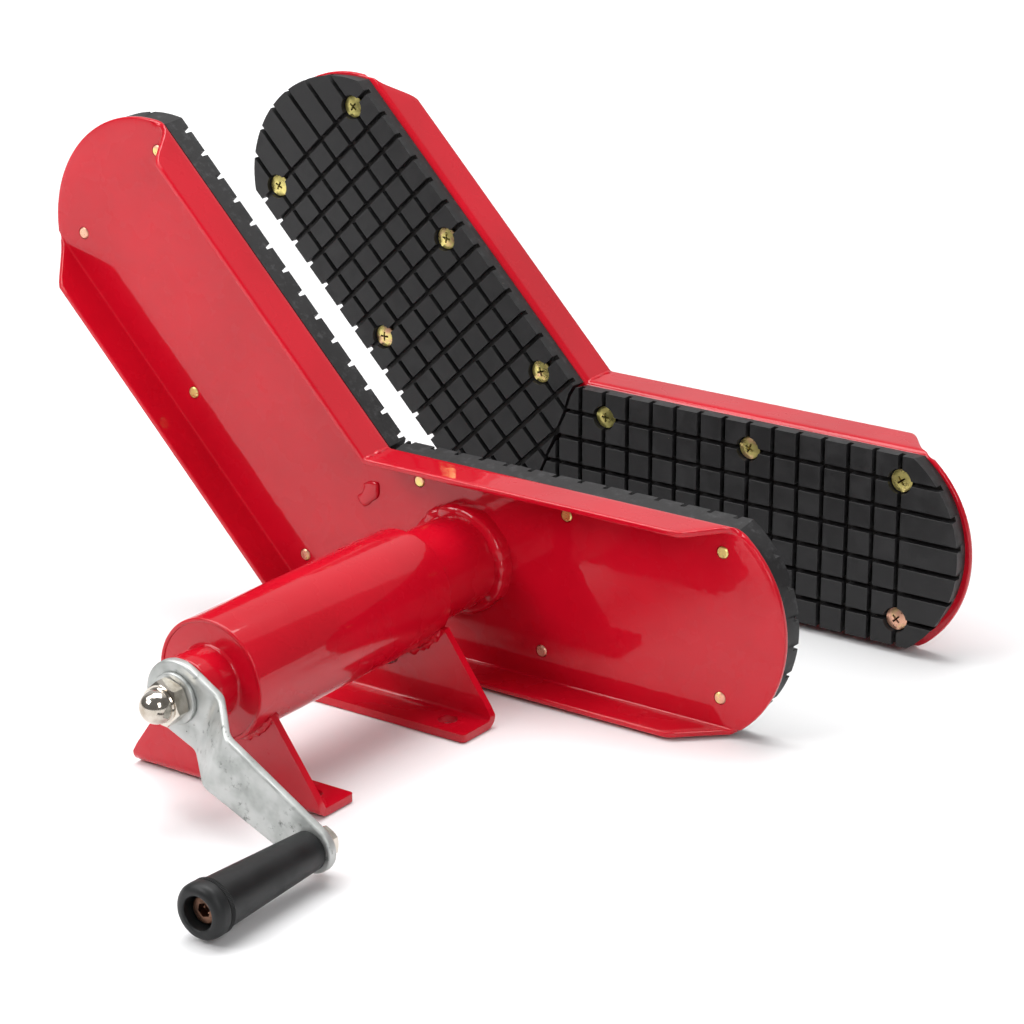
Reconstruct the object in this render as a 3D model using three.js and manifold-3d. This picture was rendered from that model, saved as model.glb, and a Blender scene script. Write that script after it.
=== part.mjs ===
// Wheel clamp for a motorcycle bench: a screw-driven jaw on a telescoping tube, and a fixed jaw
// facing it. Millimetres, +Z up. The tube runs along Y, from the crank towards the fixed jaw.
// The origin is on the bench surface, under the tube's axis, in line with the rear foot's bolts.
import * as THREE from 'three';
import { mergeVertices } from 'three/addons/utils/BufferGeometryUtils.js';
import Module from 'manifold-3d';

const wasm = await Module();
wasm.setup();

// ---- Driving dimensions ----------------------------------------------------------------------

const GAP = 0.3;                  // left between pieces that touch
const AXIS_HEIGHT = 60;           // tube axis above the bench

const OUTER_TUBE_OD = 60.3;
const OUTER_TUBE_WALL = 3.5;
const OUTER_TUBE_LENGTH = 146;
const OUTER_TUBE_REAR = 15;       // y of the open end, towards the moving jaw

const INNER_TUBE_WALL = 3.5;
const WELD_LEG = 4.85;            // bead between inner tube and jaw plate
const WELD_LENGTH = 8;
const WELD_EDGE = 1.5;

const SHEET = 3;                  // jaw steel
const JAW_WIDTH = 107;            // over the two folded edges
const JAW_DEPTH = 24;             // from the pad side to the free edge of the folds
const JAW_CLEARANCE = 1.5;        // moving jaw's lower edge above the bench
const KINK_X = -47;               // where the two inner edges meet
const ARM_ANGLE = 134;            // degrees between the arms
const ARM_END_RADIUS = 64;
const ARM_END_CENTRE = 170.7;     // along the arm, from the kink
const BEND_RADIUS = 4;            // outside of the folded edges
const INNER_FOLD_SETBACK = 20;    // free edge of each fold, back from the round end's corner
const OUTER_FOLD_SETBACK = 25;

const PAD_WIDTH = 103;
const PAD_THICKNESS = 12;
const PAD_BEVEL = 2.5;            // along the edge against the steel
const PAD_END_INSET = 2.4;        // pad end inside the steel's round end
const PAD_SPLIT = 0.35;           // each pad's distance from the line between the arms

const GRID = 15;                  // pitch of the tread, which the screws follow
const FIRST_SCREW = 19;           // first inner-row screw from the kink
const ROWS_APART = 5;             // tread pitches between the screw rows
const SCREW_FROM_END = 9;         // least distance to the steel's round end

const SCREW_THREAD = 6;
const SCREW_HEAD_OD = 12;
const SCREW_HEAD_HEIGHT = 3.3;
const SCREW_HEAD_EDGE = 0.4;
const SCREW_SUNK = 1.8;           // head below the pad face
const SCREW_TIP_PROUD = 0.6;
const SCREW_RECESS_CLEARANCE = 0.8;
const SCREW_HOLE_CLEARANCE = 0.35;

const JAW_FACE = 70;              // y of the moving jaw's steel on its pad side
const PADS_APART = 126;           // between the two rubber faces
const FIXED_JAW_SHIFT = 17;       // the fixed half stands this far to +X

const FOOT_SHEET = 4;
const FOOT_WIDTH = 113;
const FOOT_DEPTH = 26;
const FOOT_SHOULDER_INSET = 1.15; // plate's sides inside the tube's, where they meet
const FOOT_SHOULDER_DROP = 14.7;   // plate's top below the tube's axis
const FOOT_EDGE_HEIGHT = 7;
const FOOT_BEND_RADIUS = 6;
const FOOT_HOLE = 10;
const FOOT_HOLES_APART = 76;
const FOOT_HOLE_FROM_EDGE = 12;
const FRONT_FOOT_INSET = 11;      // foot plate behind the tube's front end
const FRONT_FOOT_SHIFT = -3;      // its plate sits a little to one side
const REAR_FOOT_INSET = 1;

const POST_LENGTH = 60;           // stub tube behind the fixed jaw
const POST_FOOT_INSET = 1;

const END_PLATE_RIM = 2.05;       // tube wall left round the end plate
const END_PLATE_THICKNESS = 6;
const END_PLATE_INSET = 0.6;
const BOSS_OD = 34;
const BOSS_LENGTH = 19;
const BUSH_OD = 20;
const BUSH_INSET = 1;
const COLLAR_OD = 30;
const COLLAR_LENGTH = 10;
const THRUST_WASHER_OD = 32;
const THRUST_WASHER_THICKNESS = 2;
const GUIDE_BUSH_LENGTH = 22;
const GUIDE_BUSH_WALL = 1.95;
const GUIDE_BUSH_INSET = 1;
const RUNNING_GAP = 0.25;

const LEAD_SCREW_OD = 16;
const LEAD_SCREW_SPARE = 5.3;     // past the nut with the jaw right forward
const JOURNAL_OD = 12;
const DRIVE_NUT_LENGTH = 22;

const GUIDE_SCREW_OD = 8;
const GUIDE_SCREW_HEAD_OD = 13;
const GUIDE_SCREW_HEAD_HEIGHT = 3.5;
const GUIDE_SCREW_REACH = 2.5;    // into the inner tube's slot
const TRAVEL_BACK = 30;
const TRAVEL_FORWARD = 60;
const COLLAR_CLEARANCE = 6.5;     // inner tube to thrust collar with the jaw right back

const CRANK_RADIUS = 100;
const CRANK_ANGLE = 27;           // degrees below horizontal at rest
const CRANK_SHEET = 5;
const CRANK_HUB_RADIUS = 17.8;
const CRANK_END_RADIUS = 11.5;
const CRANK_OFFSET = 16;          // the arm's step towards the operator
const CRANK_STEP_START = 20;
const CRANK_STEP_END = 39;

const WASHER_OD = 25;
const WASHER_THICKNESS = 2;
const ACORN_FLATS = 19;
const ACORN_HEX_HEIGHT = 8;
const ACORN_DOME_RADIUS = 8;
const ACORN_NECK = 2.5;

const GRIP_LENGTH = 76;
const GRIP_REAR_OD = 18.6;
const GRIP_FRONT_OD = 24.4;
const GRIP_RIM_OD = 26.2;
const GRIP_RIM_LENGTH = 10;
const GRIP_RIM_SLOPE = 2.5;
const GRIP_NOSE = 4;
const GRIP_POCKET_EDGE = 0.6;
const GRIP_POCKET_OD = 15.5;
const GRIP_POCKET_DEPTH = 13;
const GRIP_BOLT_OD = 8;
const GRIP_BOLT_HEAD_OD = 13;
const GRIP_BOLT_HEAD_HEIGHT = 8;
const GRIP_BOLT_SOCKET = 6;
const GRIP_BOLT_EDGE = 0.6;
const GRIP_BOLT_SPARE = 1;        // thread past the nut
const GRIP_NUT_FLATS = 13;
const GRIP_NUT_HEIGHT = 5;
const GRIP_WASHER_OD = 16;
const GRIP_WASHER_THICKNESS = 1.6;

const ROUND = 48;                 // facets on large turned pieces
const SMALL_ROUND = 24;
const SCREW_ROUND = 12;
const FAR = 600;                  // past every side of the object
const CUT = 20;                   // how far a cutting solid runs past what it cuts

// ---- Worked-out places -----------------------------------------------------------------------

const ARM = THREE.MathUtils.degToRad(ARM_ANGLE);
const TUBE_FRONT = OUTER_TUBE_REAR - OUTER_TUBE_LENGTH;
const OUTER_TUBE_ID = OUTER_TUBE_OD - 2 * OUTER_TUBE_WALL;
const INNER_TUBE_OD = OUTER_TUBE_ID - 2 * (GAP + GUIDE_BUSH_WALL + RUNNING_GAP);
const INNER_TUBE_ID = INNER_TUBE_OD - 2 * INNER_TUBE_WALL;
const END_PLATE_OD = OUTER_TUBE_OD - 2 * END_PLATE_RIM;
const FOOT_SHOULDER = OUTER_TUBE_OD - 2 * FOOT_SHOULDER_INSET;
const JAW_RISE = JAW_WIDTH + JAW_CLEARANCE - AXIS_HEIGHT;
const PLATE_FRONT = TUBE_FRONT + END_PLATE_INSET;
const PLATE_REAR = PLATE_FRONT + END_PLATE_THICKNESS;
const BOSS_FRONT = PLATE_FRONT - GAP - BOSS_LENGTH;
const WASHER_REAR = PLATE_REAR + GAP + THRUST_WASHER_THICKNESS;
const COLLAR_FRONT = WASHER_REAR + GAP;
const COLLAR_REAR = COLLAR_FRONT + COLLAR_LENGTH;
const INNER_TUBE_REAR = JAW_FACE - SHEET - GAP;
const INNER_TUBE_FRONT = COLLAR_REAR + COLLAR_CLEARANCE + TRAVEL_BACK;
const LEAD_SCREW_END = INNER_TUBE_FRONT + DRIVE_NUT_LENGTH + TRAVEL_FORWARD + LEAD_SCREW_SPARE;
const FIXED_JAW_FACE = JAW_FACE + PAD_THICKNESS + PADS_APART + PAD_THICKNESS;
const POST_FRONT = FIXED_JAW_FACE + SHEET + GAP;
const POST_REAR = POST_FRONT + POST_LENGTH;
const PAD_ROW = (PAD_WIDTH - ROWS_APART * GRID) / 2;
const ARM_END_CORNER = ARM_END_CENTRE + Math.sqrt(ARM_END_RADIUS ** 2 - (JAW_WIDTH / 2) ** 2);
const HUB_REAR = BOSS_FRONT - GAP;
const HUB_FRONT = HUB_REAR - CRANK_SHEET;
const ARM_REAR = HUB_REAR - CRANK_OFFSET;
const ARM_FRONT = ARM_REAR - CRANK_SHEET;

// ---- Materials -------------------------------------------------------------------------------

function material(color, roughness, metalness) {
  return new THREE.MeshStandardMaterial({ color, roughness, metalness });
}

const looks = {
  redPaint: () => material(0xc3162b, 0.18, 0.0),
  rubber: () => material(0x2b2a2b, 0.75, 0.0),
  blackPlastic: () => material(0x333436, 0.5, 0.0),
  castMetal: () => material(0xb5b8b5, 0.45, 1.0),
  nickel: () => material(0xd8d2c8, 0.12, 1.0),
  yellowZinc: () => material(0xc8b878, 0.3, 1.0),
  steel: () => material(0x9a9c9e, 0.35, 1.0),
  bronze: () => material(0xa9783f, 0.4, 1.0),
};

// ---- Solid helpers ---------------------------------------------------------------------------

function solid(geometry) {
  const bare = geometry.clone();
  bare.deleteAttribute('normal');
  bare.deleteAttribute('uv');
  const merged = mergeVertices(bare, 1e-4);
  const index = merged.index.array;
  const kept = [];
  for (let i = 0; i < index.length; i += 3) {
    const [a, b, c] = [index[i], index[i + 1], index[i + 2]];
    if (a !== b && b !== c && c !== a) kept.push(a, b, c);
  }
  const vertProperties = new Float32Array(merged.attributes.position.array);
  const triVerts = new Uint32Array(kept);
  return new wasm.Manifold(new wasm.Mesh({ numProp: 3, vertProperties, triVerts }));
}

function mesh(name, body, look) {
  const data = body.getMesh();
  const geometry = new THREE.BufferGeometry();
  geometry.setAttribute('position', new THREE.BufferAttribute(new Float32Array(data.vertProperties), 3));
  geometry.setIndex(new THREE.BufferAttribute(new Uint32Array(data.triVerts), 1));
  geometry.computeVertexNormals();
  const made = new THREE.Mesh(geometry, look());
  made.name = name;
  return made;
}

// A closed turned piece about the Y axis; the profile lists [radius, y] anticlockwise.
function turned(profile, facets = ROUND) {
  return solid(new THREE.LatheGeometry(profile.map(([r, y]) => new THREE.Vector2(r, y)), facets));
}

function rod(radius, low, high, facets = ROUND) {
  return turned([[0, low], [radius, low], [radius, high], [0, high]], facets);
}

function ring(inside, outside, low, high, facets = ROUND) {
  const profile = [[inside, low], [outside, low], [outside, high], [inside, high], [inside, low]];
  return turned(profile, facets);
}

function hexagon(flats, low, high) {
  return rod(flats / Math.sqrt(3), low, high, 6);
}

// A shape drawn in X and Z, extruded along Y.
function prismY(shape, low, high) {
  const geometry = new THREE.ExtrudeGeometry(shape, { depth: high - low, bevelEnabled: false });
  geometry.rotateX(Math.PI / 2);
  geometry.translate(0, high, 0);
  return solid(geometry);
}

// The same, with the outline's edge rounded or bevelled at the 'edged' end and not at the other.
function edgedPrismY(shape, edged, plain, edge, segments) {
  const depth = Math.abs(edged - plain);
  const settings = { depth, bevelEnabled: true, bevelThickness: edge, bevelSize: edge,
    bevelOffset: -edge, bevelSegments: segments };
  const geometry = new THREE.ExtrudeGeometry(shape, settings);
  geometry.rotateX(Math.PI / 2);
  const middle = edged > plain ? edged - edge : edged + edge + depth;
  geometry.translate(0, middle, 0);
  const thickness = [Math.min(edged, plain), Math.max(edged, plain)];
  return solid(geometry).intersect(box([-FAR, FAR], thickness, [-FAR, FAR]));
}

// A shape drawn in Y and Z, extruded along X.
function prismX(shape, low, high) {
  const geometry = new THREE.ExtrudeGeometry(shape, { depth: high - low, bevelEnabled: false });
  const turn = new THREE.Matrix4().makeBasis(
    new THREE.Vector3(0, 1, 0), new THREE.Vector3(0, 0, 1), new THREE.Vector3(1, 0, 0));
  geometry.applyMatrix4(turn);
  geometry.translate(low, 0, 0);
  return solid(geometry);
}

function box([x0, x1], [y0, y1], [z0, z1]) {
  const geometry = new THREE.BoxGeometry(x1 - x0, y1 - y0, z1 - z0);
  geometry.translate((x0 + x1) / 2, (y0 + y1) / 2, (z0 + z1) / 2);
  return solid(geometry);
}

function placed(body, x, y, z) {
  return body.translate([x, y, z]);
}

function outline(points) {
  return new THREE.Shape(points.map(([a, b]) => new THREE.Vector2(a, b)));
}

function arc(centreA, centreB, radius, from, to, steps) {
  return Array.from({ length: steps + 1 }, (_, i) => {
    const angle = from + (to - from) * i / steps;
    return [centreA + radius * Math.cos(angle), centreB + radius * Math.sin(angle)];
  });
}

// ---- Jaw outline -----------------------------------------------------------------------------

// A point along an arm (s from the kink, r in from the inner edge) as [x, z] about the kink.
function onArm(upper, s, r) {
  if (!upper) return [s, -r];
  return [s * Math.cos(ARM) - r * Math.sin(ARM), s * Math.sin(ARM) + r * Math.cos(ARM)];
}

function kinkAt(r) {
  return -r / Math.tan(ARM / 2);
}

// The round end of an arm between the edges r0 and r1, from r0 to r1.
function armEnd(r0, r1, radius) {
  const half = (r1 - r0) / 2;
  const sweep = Math.asin(half / radius);
  return arc(ARM_END_CENTRE, (r0 + r1) / 2, radius, -sweep, sweep, 12);
}

function wholeBand(r0, r1, radius) {
  const lower = armEnd(r0, r1, radius).reverse().map(([s, r]) => onArm(false, s, r));
  const upper = armEnd(r0, r1, radius).map(([s, r]) => onArm(true, s, r));
  return outline([onArm(false, kinkAt(r1), r1), ...lower, onArm(false, kinkAt(r0), r0), ...upper]);
}

function longBand(r0, r1) {
  const far = ARM_END_CENTRE + 2 * ARM_END_RADIUS;
  return outline([onArm(false, kinkAt(r1), r1), onArm(false, far, r1), onArm(false, far, r0),
    onArm(false, kinkAt(r0), r0), onArm(true, far, r0), onArm(true, far, r1)]);
}

function padOutline(upper) {
  const end = armEnd(0, PAD_WIDTH, ARM_END_RADIUS - PAD_END_INSET);
  const points = [[kinkAt(0) + PAD_SPLIT, 0], ...end, [kinkAt(PAD_WIDTH) + PAD_SPLIT, PAD_WIDTH]]
    .map(([s, r]) => onArm(upper, s, r));
  return outline(upper ? points : points.reverse());
}

// Three screws in each of two rows, at tread steps counted from the inner row's first screw.
function screwPlaces(upper) {
  const outerRow = PAD_ROW + ROWS_APART * GRID;
  const halfRows = ROWS_APART * GRID / 2;
  const reach = ARM_END_CENTRE + Math.sqrt((ARM_END_RADIUS - SCREW_FROM_END) ** 2 - halfRows ** 2);
  const last = Math.floor((reach - FIRST_SCREW) / GRID);
  const outerFirst = Math.round((kinkAt(outerRow) - kinkAt(PAD_ROW)) / GRID);
  const places = [[0, PAD_ROW], [outerFirst, outerRow]].flatMap(([first, r]) => (
    [first, Math.round((first + last) / 2), last].map((step) => [FIRST_SCREW + step * GRID, r])));
  return places.map(([s, r]) => onArm(upper, s, r));
}

// ---- Jaw pieces, about the kink, with y = 0 on the steel's pad side and 'side' towards the pad --

// Wedge that slopes the end of one folded edge, drawn along the arm and away from the pad.
function foldEndCut(upper, edge, setback, side) {
  const slope = setback / (JAW_DEPTH - SHEET);
  const reach = JAW_DEPTH + CUT;
  const points = [[ARM_END_CORNER, -side * SHEET], [FAR, -side * SHEET], [FAR, -side * reach],
    [ARM_END_CORNER - slope * (reach - SHEET), -side * reach]];
  const shape = outline(side > 0 ? points.reverse() : points);
  const geometry = new THREE.ExtrudeGeometry(shape, { depth: 2 * CUT, bevelEnabled: false });
  const low = onArm(upper, 0, edge - CUT);
  const along = onArm(upper, 1, 0);
  const inward = onArm(upper, 0, 1);
  const turn = new THREE.Matrix4().makeBasis(
    new THREE.Vector3(along[0], 0, along[1]), new THREE.Vector3(0, 1, 0),
    new THREE.Vector3(inward[0], 0, inward[1]));
  if (turn.determinant() < 0) flipFaces(geometry);
  geometry.applyMatrix4(turn);
  geometry.translate(low[0], 0, low[1]);
  return solid(geometry);
}

function flipFaces(geometry) {
  const places = geometry.attributes.position.array;
  for (let i = 0; i < places.length; i += 9) {
    for (let k = 0; k < 3; k += 1) {
      const kept = places[i + 3 + k];
      places[i + 3 + k] = places[i + 6 + k];
      places[i + 6 + k] = kept;
    }
  }
}

function jawPlate(side) {
  const back = -side * (JAW_DEPTH + 2 * BEND_RADIUS);
  const pocketBack = -side * (JAW_DEPTH + 4 * BEND_RADIUS);
  const pocket = prismY(longBand(SHEET, JAW_WIDTH - SHEET),
    Math.min(-side * SHEET, pocketBack), Math.max(-side * SHEET, pocketBack));
  const depthBand = [Math.min(0, -side * JAW_DEPTH), Math.max(0, -side * JAW_DEPTH)];
  let steel = edgedPrismY(longBand(0, JAW_WIDTH), 0, back, BEND_RADIUS, 3)
    .subtract(pocket)
    .intersect(prismY(wholeBand(0, JAW_WIDTH, ARM_END_RADIUS), ...depthBand));
  for (const upper of [false, true]) {
    steel = steel.subtract(foldEndCut(upper, 0, INNER_FOLD_SETBACK, side));
    steel = steel.subtract(foldEndCut(upper, JAW_WIDTH, OUTER_FOLD_SETBACK, side));
    for (const [x, z] of screwPlaces(upper)) {
      const hole = rod(SCREW_THREAD / 2 + SCREW_HOLE_CLEARANCE, -2 * SHEET, 2 * SHEET, SCREW_ROUND);
      steel = steel.subtract(placed(hole, x, 0, z));
    }
  }
  return steel;
}

function pad(upper, side) {
  const face = side * PAD_THICKNESS;
  let rubber = edgedPrismY(padOutline(upper), side * GAP, face, PAD_BEVEL, 1);
  const recess = SCREW_SUNK + SCREW_HEAD_HEIGHT + SCREW_HEAD_EDGE;
  for (const [x, z] of screwPlaces(upper)) {
    const wide = SCREW_HEAD_OD / 2 + SCREW_RECESS_CLEARANCE;
    const narrow = SCREW_THREAD / 2 + SCREW_HOLE_CLEARANCE;
    const floor = face - side * recess;
    const rim = face + side * GAP;
    const head = rod(wide, Math.min(floor, rim), Math.max(floor, rim), SCREW_ROUND);
    const shank = rod(narrow, -CUT, CUT, SCREW_ROUND);
    rubber = rubber.subtract(placed(head, x, 0, z));
    rubber = rubber.subtract(placed(shank, x, 0, z));
  }
  return rubber;
}

// A countersunk screw, its head towards +Y and its tip through the steel.
function padScrew() {
  const top = PAD_THICKNESS - SCREW_SUNK;
  const tip = -SHEET - SCREW_TIP_PROUD;
  const head = SCREW_HEAD_OD / 2;
  const thread = SCREW_THREAD / 2;
  return turned([[0, tip], [thread, tip], [thread, top - SCREW_HEAD_HEIGHT],
    [head, top - SCREW_HEAD_EDGE], [head, top], [0, top]], SCREW_ROUND);
}

function jaw(prefix, side) {
  const group = new THREE.Group();
  group.add(mesh(`${prefix}_jaw_plate`, jawPlate(side), looks.redPaint));
  for (const upper of [false, true]) {
    const arm = upper ? 'upper' : 'lower';
    group.add(mesh(`${prefix}_${arm}_pad`, pad(upper, side), looks.rubber));
    screwPlaces(upper).forEach(([x, z], i) => {
      const screw = side > 0 ? padScrew() : padScrew().rotate([0, 0, 180]);
      group.add(mesh(`${prefix}_${arm}_screw_${i + 1}`, placed(screw, x, 0, z), looks.yellowZinc));
    });
  }
  return group;
}

// ---- Feet ------------------------------------------------------------------------------------

// A folded plate with its upright face at y = 0 and its flange running towards 'side'.
function foot(side, shift = 0) {
  const bend = FOOT_BEND_RADIUS;
  const inner = bend - FOOT_SHEET;
  const top = AXIS_HEIGHT;
  const section = [
    ...arc(bend, bend, bend, Math.PI, 1.5 * Math.PI, 5),
    [FOOT_DEPTH, 0],
    [FOOT_DEPTH, FOOT_SHEET],
    ...arc(bend, bend, inner, 1.5 * Math.PI, Math.PI, 4),
    [FOOT_SHEET, top],
    [0, top],
  ];
  const turnedSection = side > 0 ? section : section.map(([y, z]) => [-y, z]).reverse();
  const half = FOOT_WIDTH / 2;
  const shoulder = FOOT_SHOULDER / 2;
  const tube = OUTER_TUBE_OD / 2;
  const shoulderHeight = AXIS_HEIGHT - FOOT_SHOULDER_DROP;
  const front = outline([[-half, 0], [half, 0], [half, FOOT_EDGE_HEIGHT], [shoulder, shoulderHeight],
    [-shoulder, shoulderHeight], [-half, FOOT_EDGE_HEIGHT]].map(([x, z]) => [x + shift, z]));
  const reach = FOOT_DEPTH + CUT;
  const bore = rod(tube + GAP, -reach, reach);
  let plate = prismX(outline(turnedSection), shift - half, shift + half)
    .intersect(prismY(front, -reach, reach))
    .subtract(placed(bore, 0, 0, AXIS_HEIGHT));
  for (const x of [-FOOT_HOLES_APART / 2, FOOT_HOLES_APART / 2]) {
    const y = side * (FOOT_DEPTH - FOOT_HOLE_FROM_EDGE);
    const hole = rod(FOOT_HOLE / 2, -FOOT_SHEET, 2 * FOOT_SHEET, SMALL_ROUND).rotate([90, 0, 0]);
    plate = plate.subtract(placed(hole, x, y, 0));
  }
  return plate;
}

// ---- Tube, screw housing and slide -----------------------------------------------------------

function outerTube() {
  const wall = ring(OUTER_TUBE_ID / 2, OUTER_TUBE_OD / 2, TUBE_FRONT, OUTER_TUBE_REAR);
  const seat = rod(END_PLATE_OD / 2 + GAP, TUBE_FRONT - CUT, PLATE_REAR + GAP);
  return wall.subtract(seat).subtract(guideHole());
}

function guideHole() {
  return rod(GUIDE_SCREW_OD / 2 + GAP, -OUTER_TUBE_OD, 0, SMALL_ROUND).rotate([90, 0, 0]);
}

function guideScrew() {
  const seat = OUTER_TUBE_OD / 2 + GAP;
  const tip = INNER_TUBE_OD / 2 - GUIDE_SCREW_REACH;
  const shank = GUIDE_SCREW_OD / 2;
  const head = GUIDE_SCREW_HEAD_OD / 2;
  const low = -seat - GUIDE_SCREW_HEAD_HEIGHT;
  return turned([[0, low], [head, low], [head, -seat], [shank, -seat], [shank, -tip], [0, -tip]],
    SMALL_ROUND).rotate([90, 0, 0]);
}

function guideBush() {
  const end = OUTER_TUBE_REAR - GUIDE_BUSH_INSET;
  const bush = ring(INNER_TUBE_OD / 2 + RUNNING_GAP, OUTER_TUBE_ID / 2 - GAP, end - GUIDE_BUSH_LENGTH, end);
  return bush.subtract(guideHole());
}

function innerTube() {
  const tube = INNER_TUBE_OD / 2;
  const bore = INNER_TUBE_ID / 2;
  const rear = INNER_TUBE_REAR;
  const weld = tube + WELD_LEG;
  const profile = [[bore, INNER_TUBE_FRONT], [tube, INNER_TUBE_FRONT], [tube, rear - WELD_LENGTH],
    [weld - WELD_EDGE, rear - 2 * WELD_EDGE], [weld, rear - WELD_EDGE], [weld, rear],
    [bore, rear], [bore, INNER_TUBE_FRONT]];
  const side = GUIDE_SCREW_OD / 2 + GAP;
  const travel = [-TRAVEL_FORWARD - side, TRAVEL_BACK + side];
  const slot = box([-side, side], travel, [-tube - CUT, -bore + SHEET]);
  return turned(profile).subtract(slot);
}

function driveNut() {
  const outside = INNER_TUBE_ID / 2 - GAP;
  const inside = LEAD_SCREW_OD / 2 + RUNNING_GAP;
  return ring(inside, outside, INNER_TUBE_FRONT, INNER_TUBE_FRONT + DRIVE_NUT_LENGTH);
}

function leadScrew() {
  const journal = JOURNAL_OD / 2;
  const thread = LEAD_SCREW_OD / 2;
  const nutEnd = HUB_FRONT - WASHER_THICKNESS - 2 * GAP - ACORN_HEX_HEIGHT;
  return turned([[0, nutEnd], [journal, nutEnd], [journal, PLATE_REAR + GAP],
    [thread, PLATE_REAR + GAP], [thread, LEAD_SCREW_END], [0, LEAD_SCREW_END]], SMALL_ROUND);
}

function housing() {
  const group = new THREE.Group();
  group.position.z = AXIS_HEIGHT;
  const bushBore = JOURNAL_OD / 2 + RUNNING_GAP;
  const seat = BUSH_OD / 2 + GAP;
  group.add(mesh('outer_tube', outerTube(), looks.redPaint));
  group.add(mesh('end_plate', ring(seat, END_PLATE_OD / 2, PLATE_FRONT, PLATE_REAR), looks.redPaint));
  group.add(mesh('screw_boss', ring(seat, BOSS_OD / 2, BOSS_FRONT, PLATE_FRONT - GAP), looks.redPaint));
  const bush = ring(bushBore, BUSH_OD / 2, BOSS_FRONT + BUSH_INSET, PLATE_REAR, SMALL_ROUND);
  group.add(mesh('screw_bush', bush, looks.bronze));
  group.add(mesh('guide_bush', guideBush(), looks.bronze));
  group.add(mesh('guide_screw', guideScrew(), looks.steel));
  return group;
}

function slide() {
  const group = new THREE.Group();
  group.position.z = AXIS_HEIGHT;
  group.add(mesh('inner_tube', innerTube(), looks.redPaint));
  group.add(mesh('drive_nut', driveNut(), looks.bronze));
  return group;
}

// ---- Crank -----------------------------------------------------------------------------------

// The arm's outline seen along Y: two round ends joined by their outer tangents.
function armOutline() {
  const lean = Math.acos((CRANK_HUB_RADIUS - CRANK_END_RADIUS) / CRANK_RADIUS);
  return outline([
    ...arc(0, 0, CRANK_HUB_RADIUS, lean, 2 * Math.PI - lean, 20),
    ...arc(CRANK_RADIUS, 0, CRANK_END_RADIUS, -lean, lean, 14),
  ]);
}

// The arm's stepped thickness seen along its width, from the hub at 0 outwards.
function armStep() {
  const low = -2 * CRANK_HUB_RADIUS;
  const high = CRANK_RADIUS + 2 * CRANK_END_RADIUS;
  const slant = Math.atan2(CRANK_OFFSET, CRANK_STEP_END - CRANK_STEP_START);
  const shift = CRANK_SHEET * Math.tan(slant / 2);
  return outline([[low, HUB_FRONT], [CRANK_STEP_START, HUB_FRONT], [CRANK_STEP_END, ARM_FRONT],
    [high, ARM_FRONT], [high, ARM_REAR], [CRANK_STEP_END + shift, ARM_REAR],
    [CRANK_STEP_START + shift, HUB_REAR], [low, HUB_REAR]]);
}

function crankArm() {
  const width = 2 * CRANK_HUB_RADIUS;
  const steps = new THREE.ExtrudeGeometry(armStep(), { depth: 2 * width, bevelEnabled: false });
  steps.translate(0, 0, -width);
  const hubHole = rod(JOURNAL_OD / 2 + GAP, ARM_FRONT - CUT, HUB_REAR + CUT, SMALL_ROUND);
  const endHole = rod(GRIP_BOLT_OD / 2 + GAP, ARM_FRONT - CUT, HUB_REAR + CUT, SMALL_ROUND);
  return solid(steps)
    .intersect(prismY(armOutline(), ARM_FRONT - CUT, HUB_REAR + CUT))
    .subtract(hubHole)
    .subtract(placed(endHole, CRANK_RADIUS, 0, 0));
}

function acornNut() {
  const rear = HUB_FRONT - WASHER_THICKNESS - 2 * GAP;
  const front = rear - ACORN_HEX_HEIGHT;
  const neck = front - ACORN_NECK;
  const dome = ACORN_DOME_RADIUS;
  const cap = arc(0, neck, dome, 1.5 * Math.PI, 2 * Math.PI, 8);
  const inside = JOURNAL_OD / 2 + GAP;
  const blind = front - GAP;
  const joined = (front + rear) / 2;
  return turned([...cap, [dome, joined], [0, joined]], SMALL_ROUND)
    .add(hexagon(ACORN_FLATS, front, rear))
    .subtract(rod(inside, blind, rear + CUT, SMALL_ROUND));
}

function gripProfile() {
  const rear = ARM_FRONT - GAP;
  const front = rear - GRIP_LENGTH;
  const rimRear = front + GRIP_RIM_LENGTH;
  const rim = GRIP_RIM_OD / 2;
  const nose = GRIP_NOSE;
  const bolt = GRIP_BOLT_OD / 2 + RUNNING_GAP;
  const pocket = GRIP_POCKET_OD / 2;
  const pocketFloor = front + GRIP_POCKET_DEPTH;
  return [[pocket, front + GRIP_POCKET_EDGE], [pocket + GRIP_POCKET_EDGE, front], [rim - nose, front],
    ...arc(rim - nose, front + nose, nose, 1.5 * Math.PI, 2 * Math.PI, 5).slice(1),
    [rim, rimRear - GRIP_RIM_SLOPE], [GRIP_FRONT_OD / 2, rimRear], [GRIP_REAR_OD / 2, rear], [bolt, rear],
    [bolt, pocketFloor], [pocket, pocketFloor], [pocket, front + GRIP_POCKET_EDGE]];
}

function gripBolt() {
  const rear = ARM_REAR + GRIP_WASHER_THICKNESS + 2 * GAP + GRIP_NUT_HEIGHT + GRIP_BOLT_SPARE;
  const seat = ARM_FRONT - GAP - GRIP_LENGTH + GRIP_POCKET_DEPTH - GAP;
  const front = seat - GRIP_BOLT_HEAD_HEIGHT;
  const shank = GRIP_BOLT_OD / 2;
  const head = GRIP_BOLT_HEAD_OD / 2;
  const bolt = turned([[0, front], [head - GRIP_BOLT_EDGE, front], [head, front + GRIP_BOLT_EDGE],
    [head, seat], [shank, seat], [shank, rear], [0, rear]], SMALL_ROUND);
  return bolt.subtract(hexagon(GRIP_BOLT_SOCKET, front - CUT, front + GRIP_BOLT_HEAD_HEIGHT / 2));
}

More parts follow.
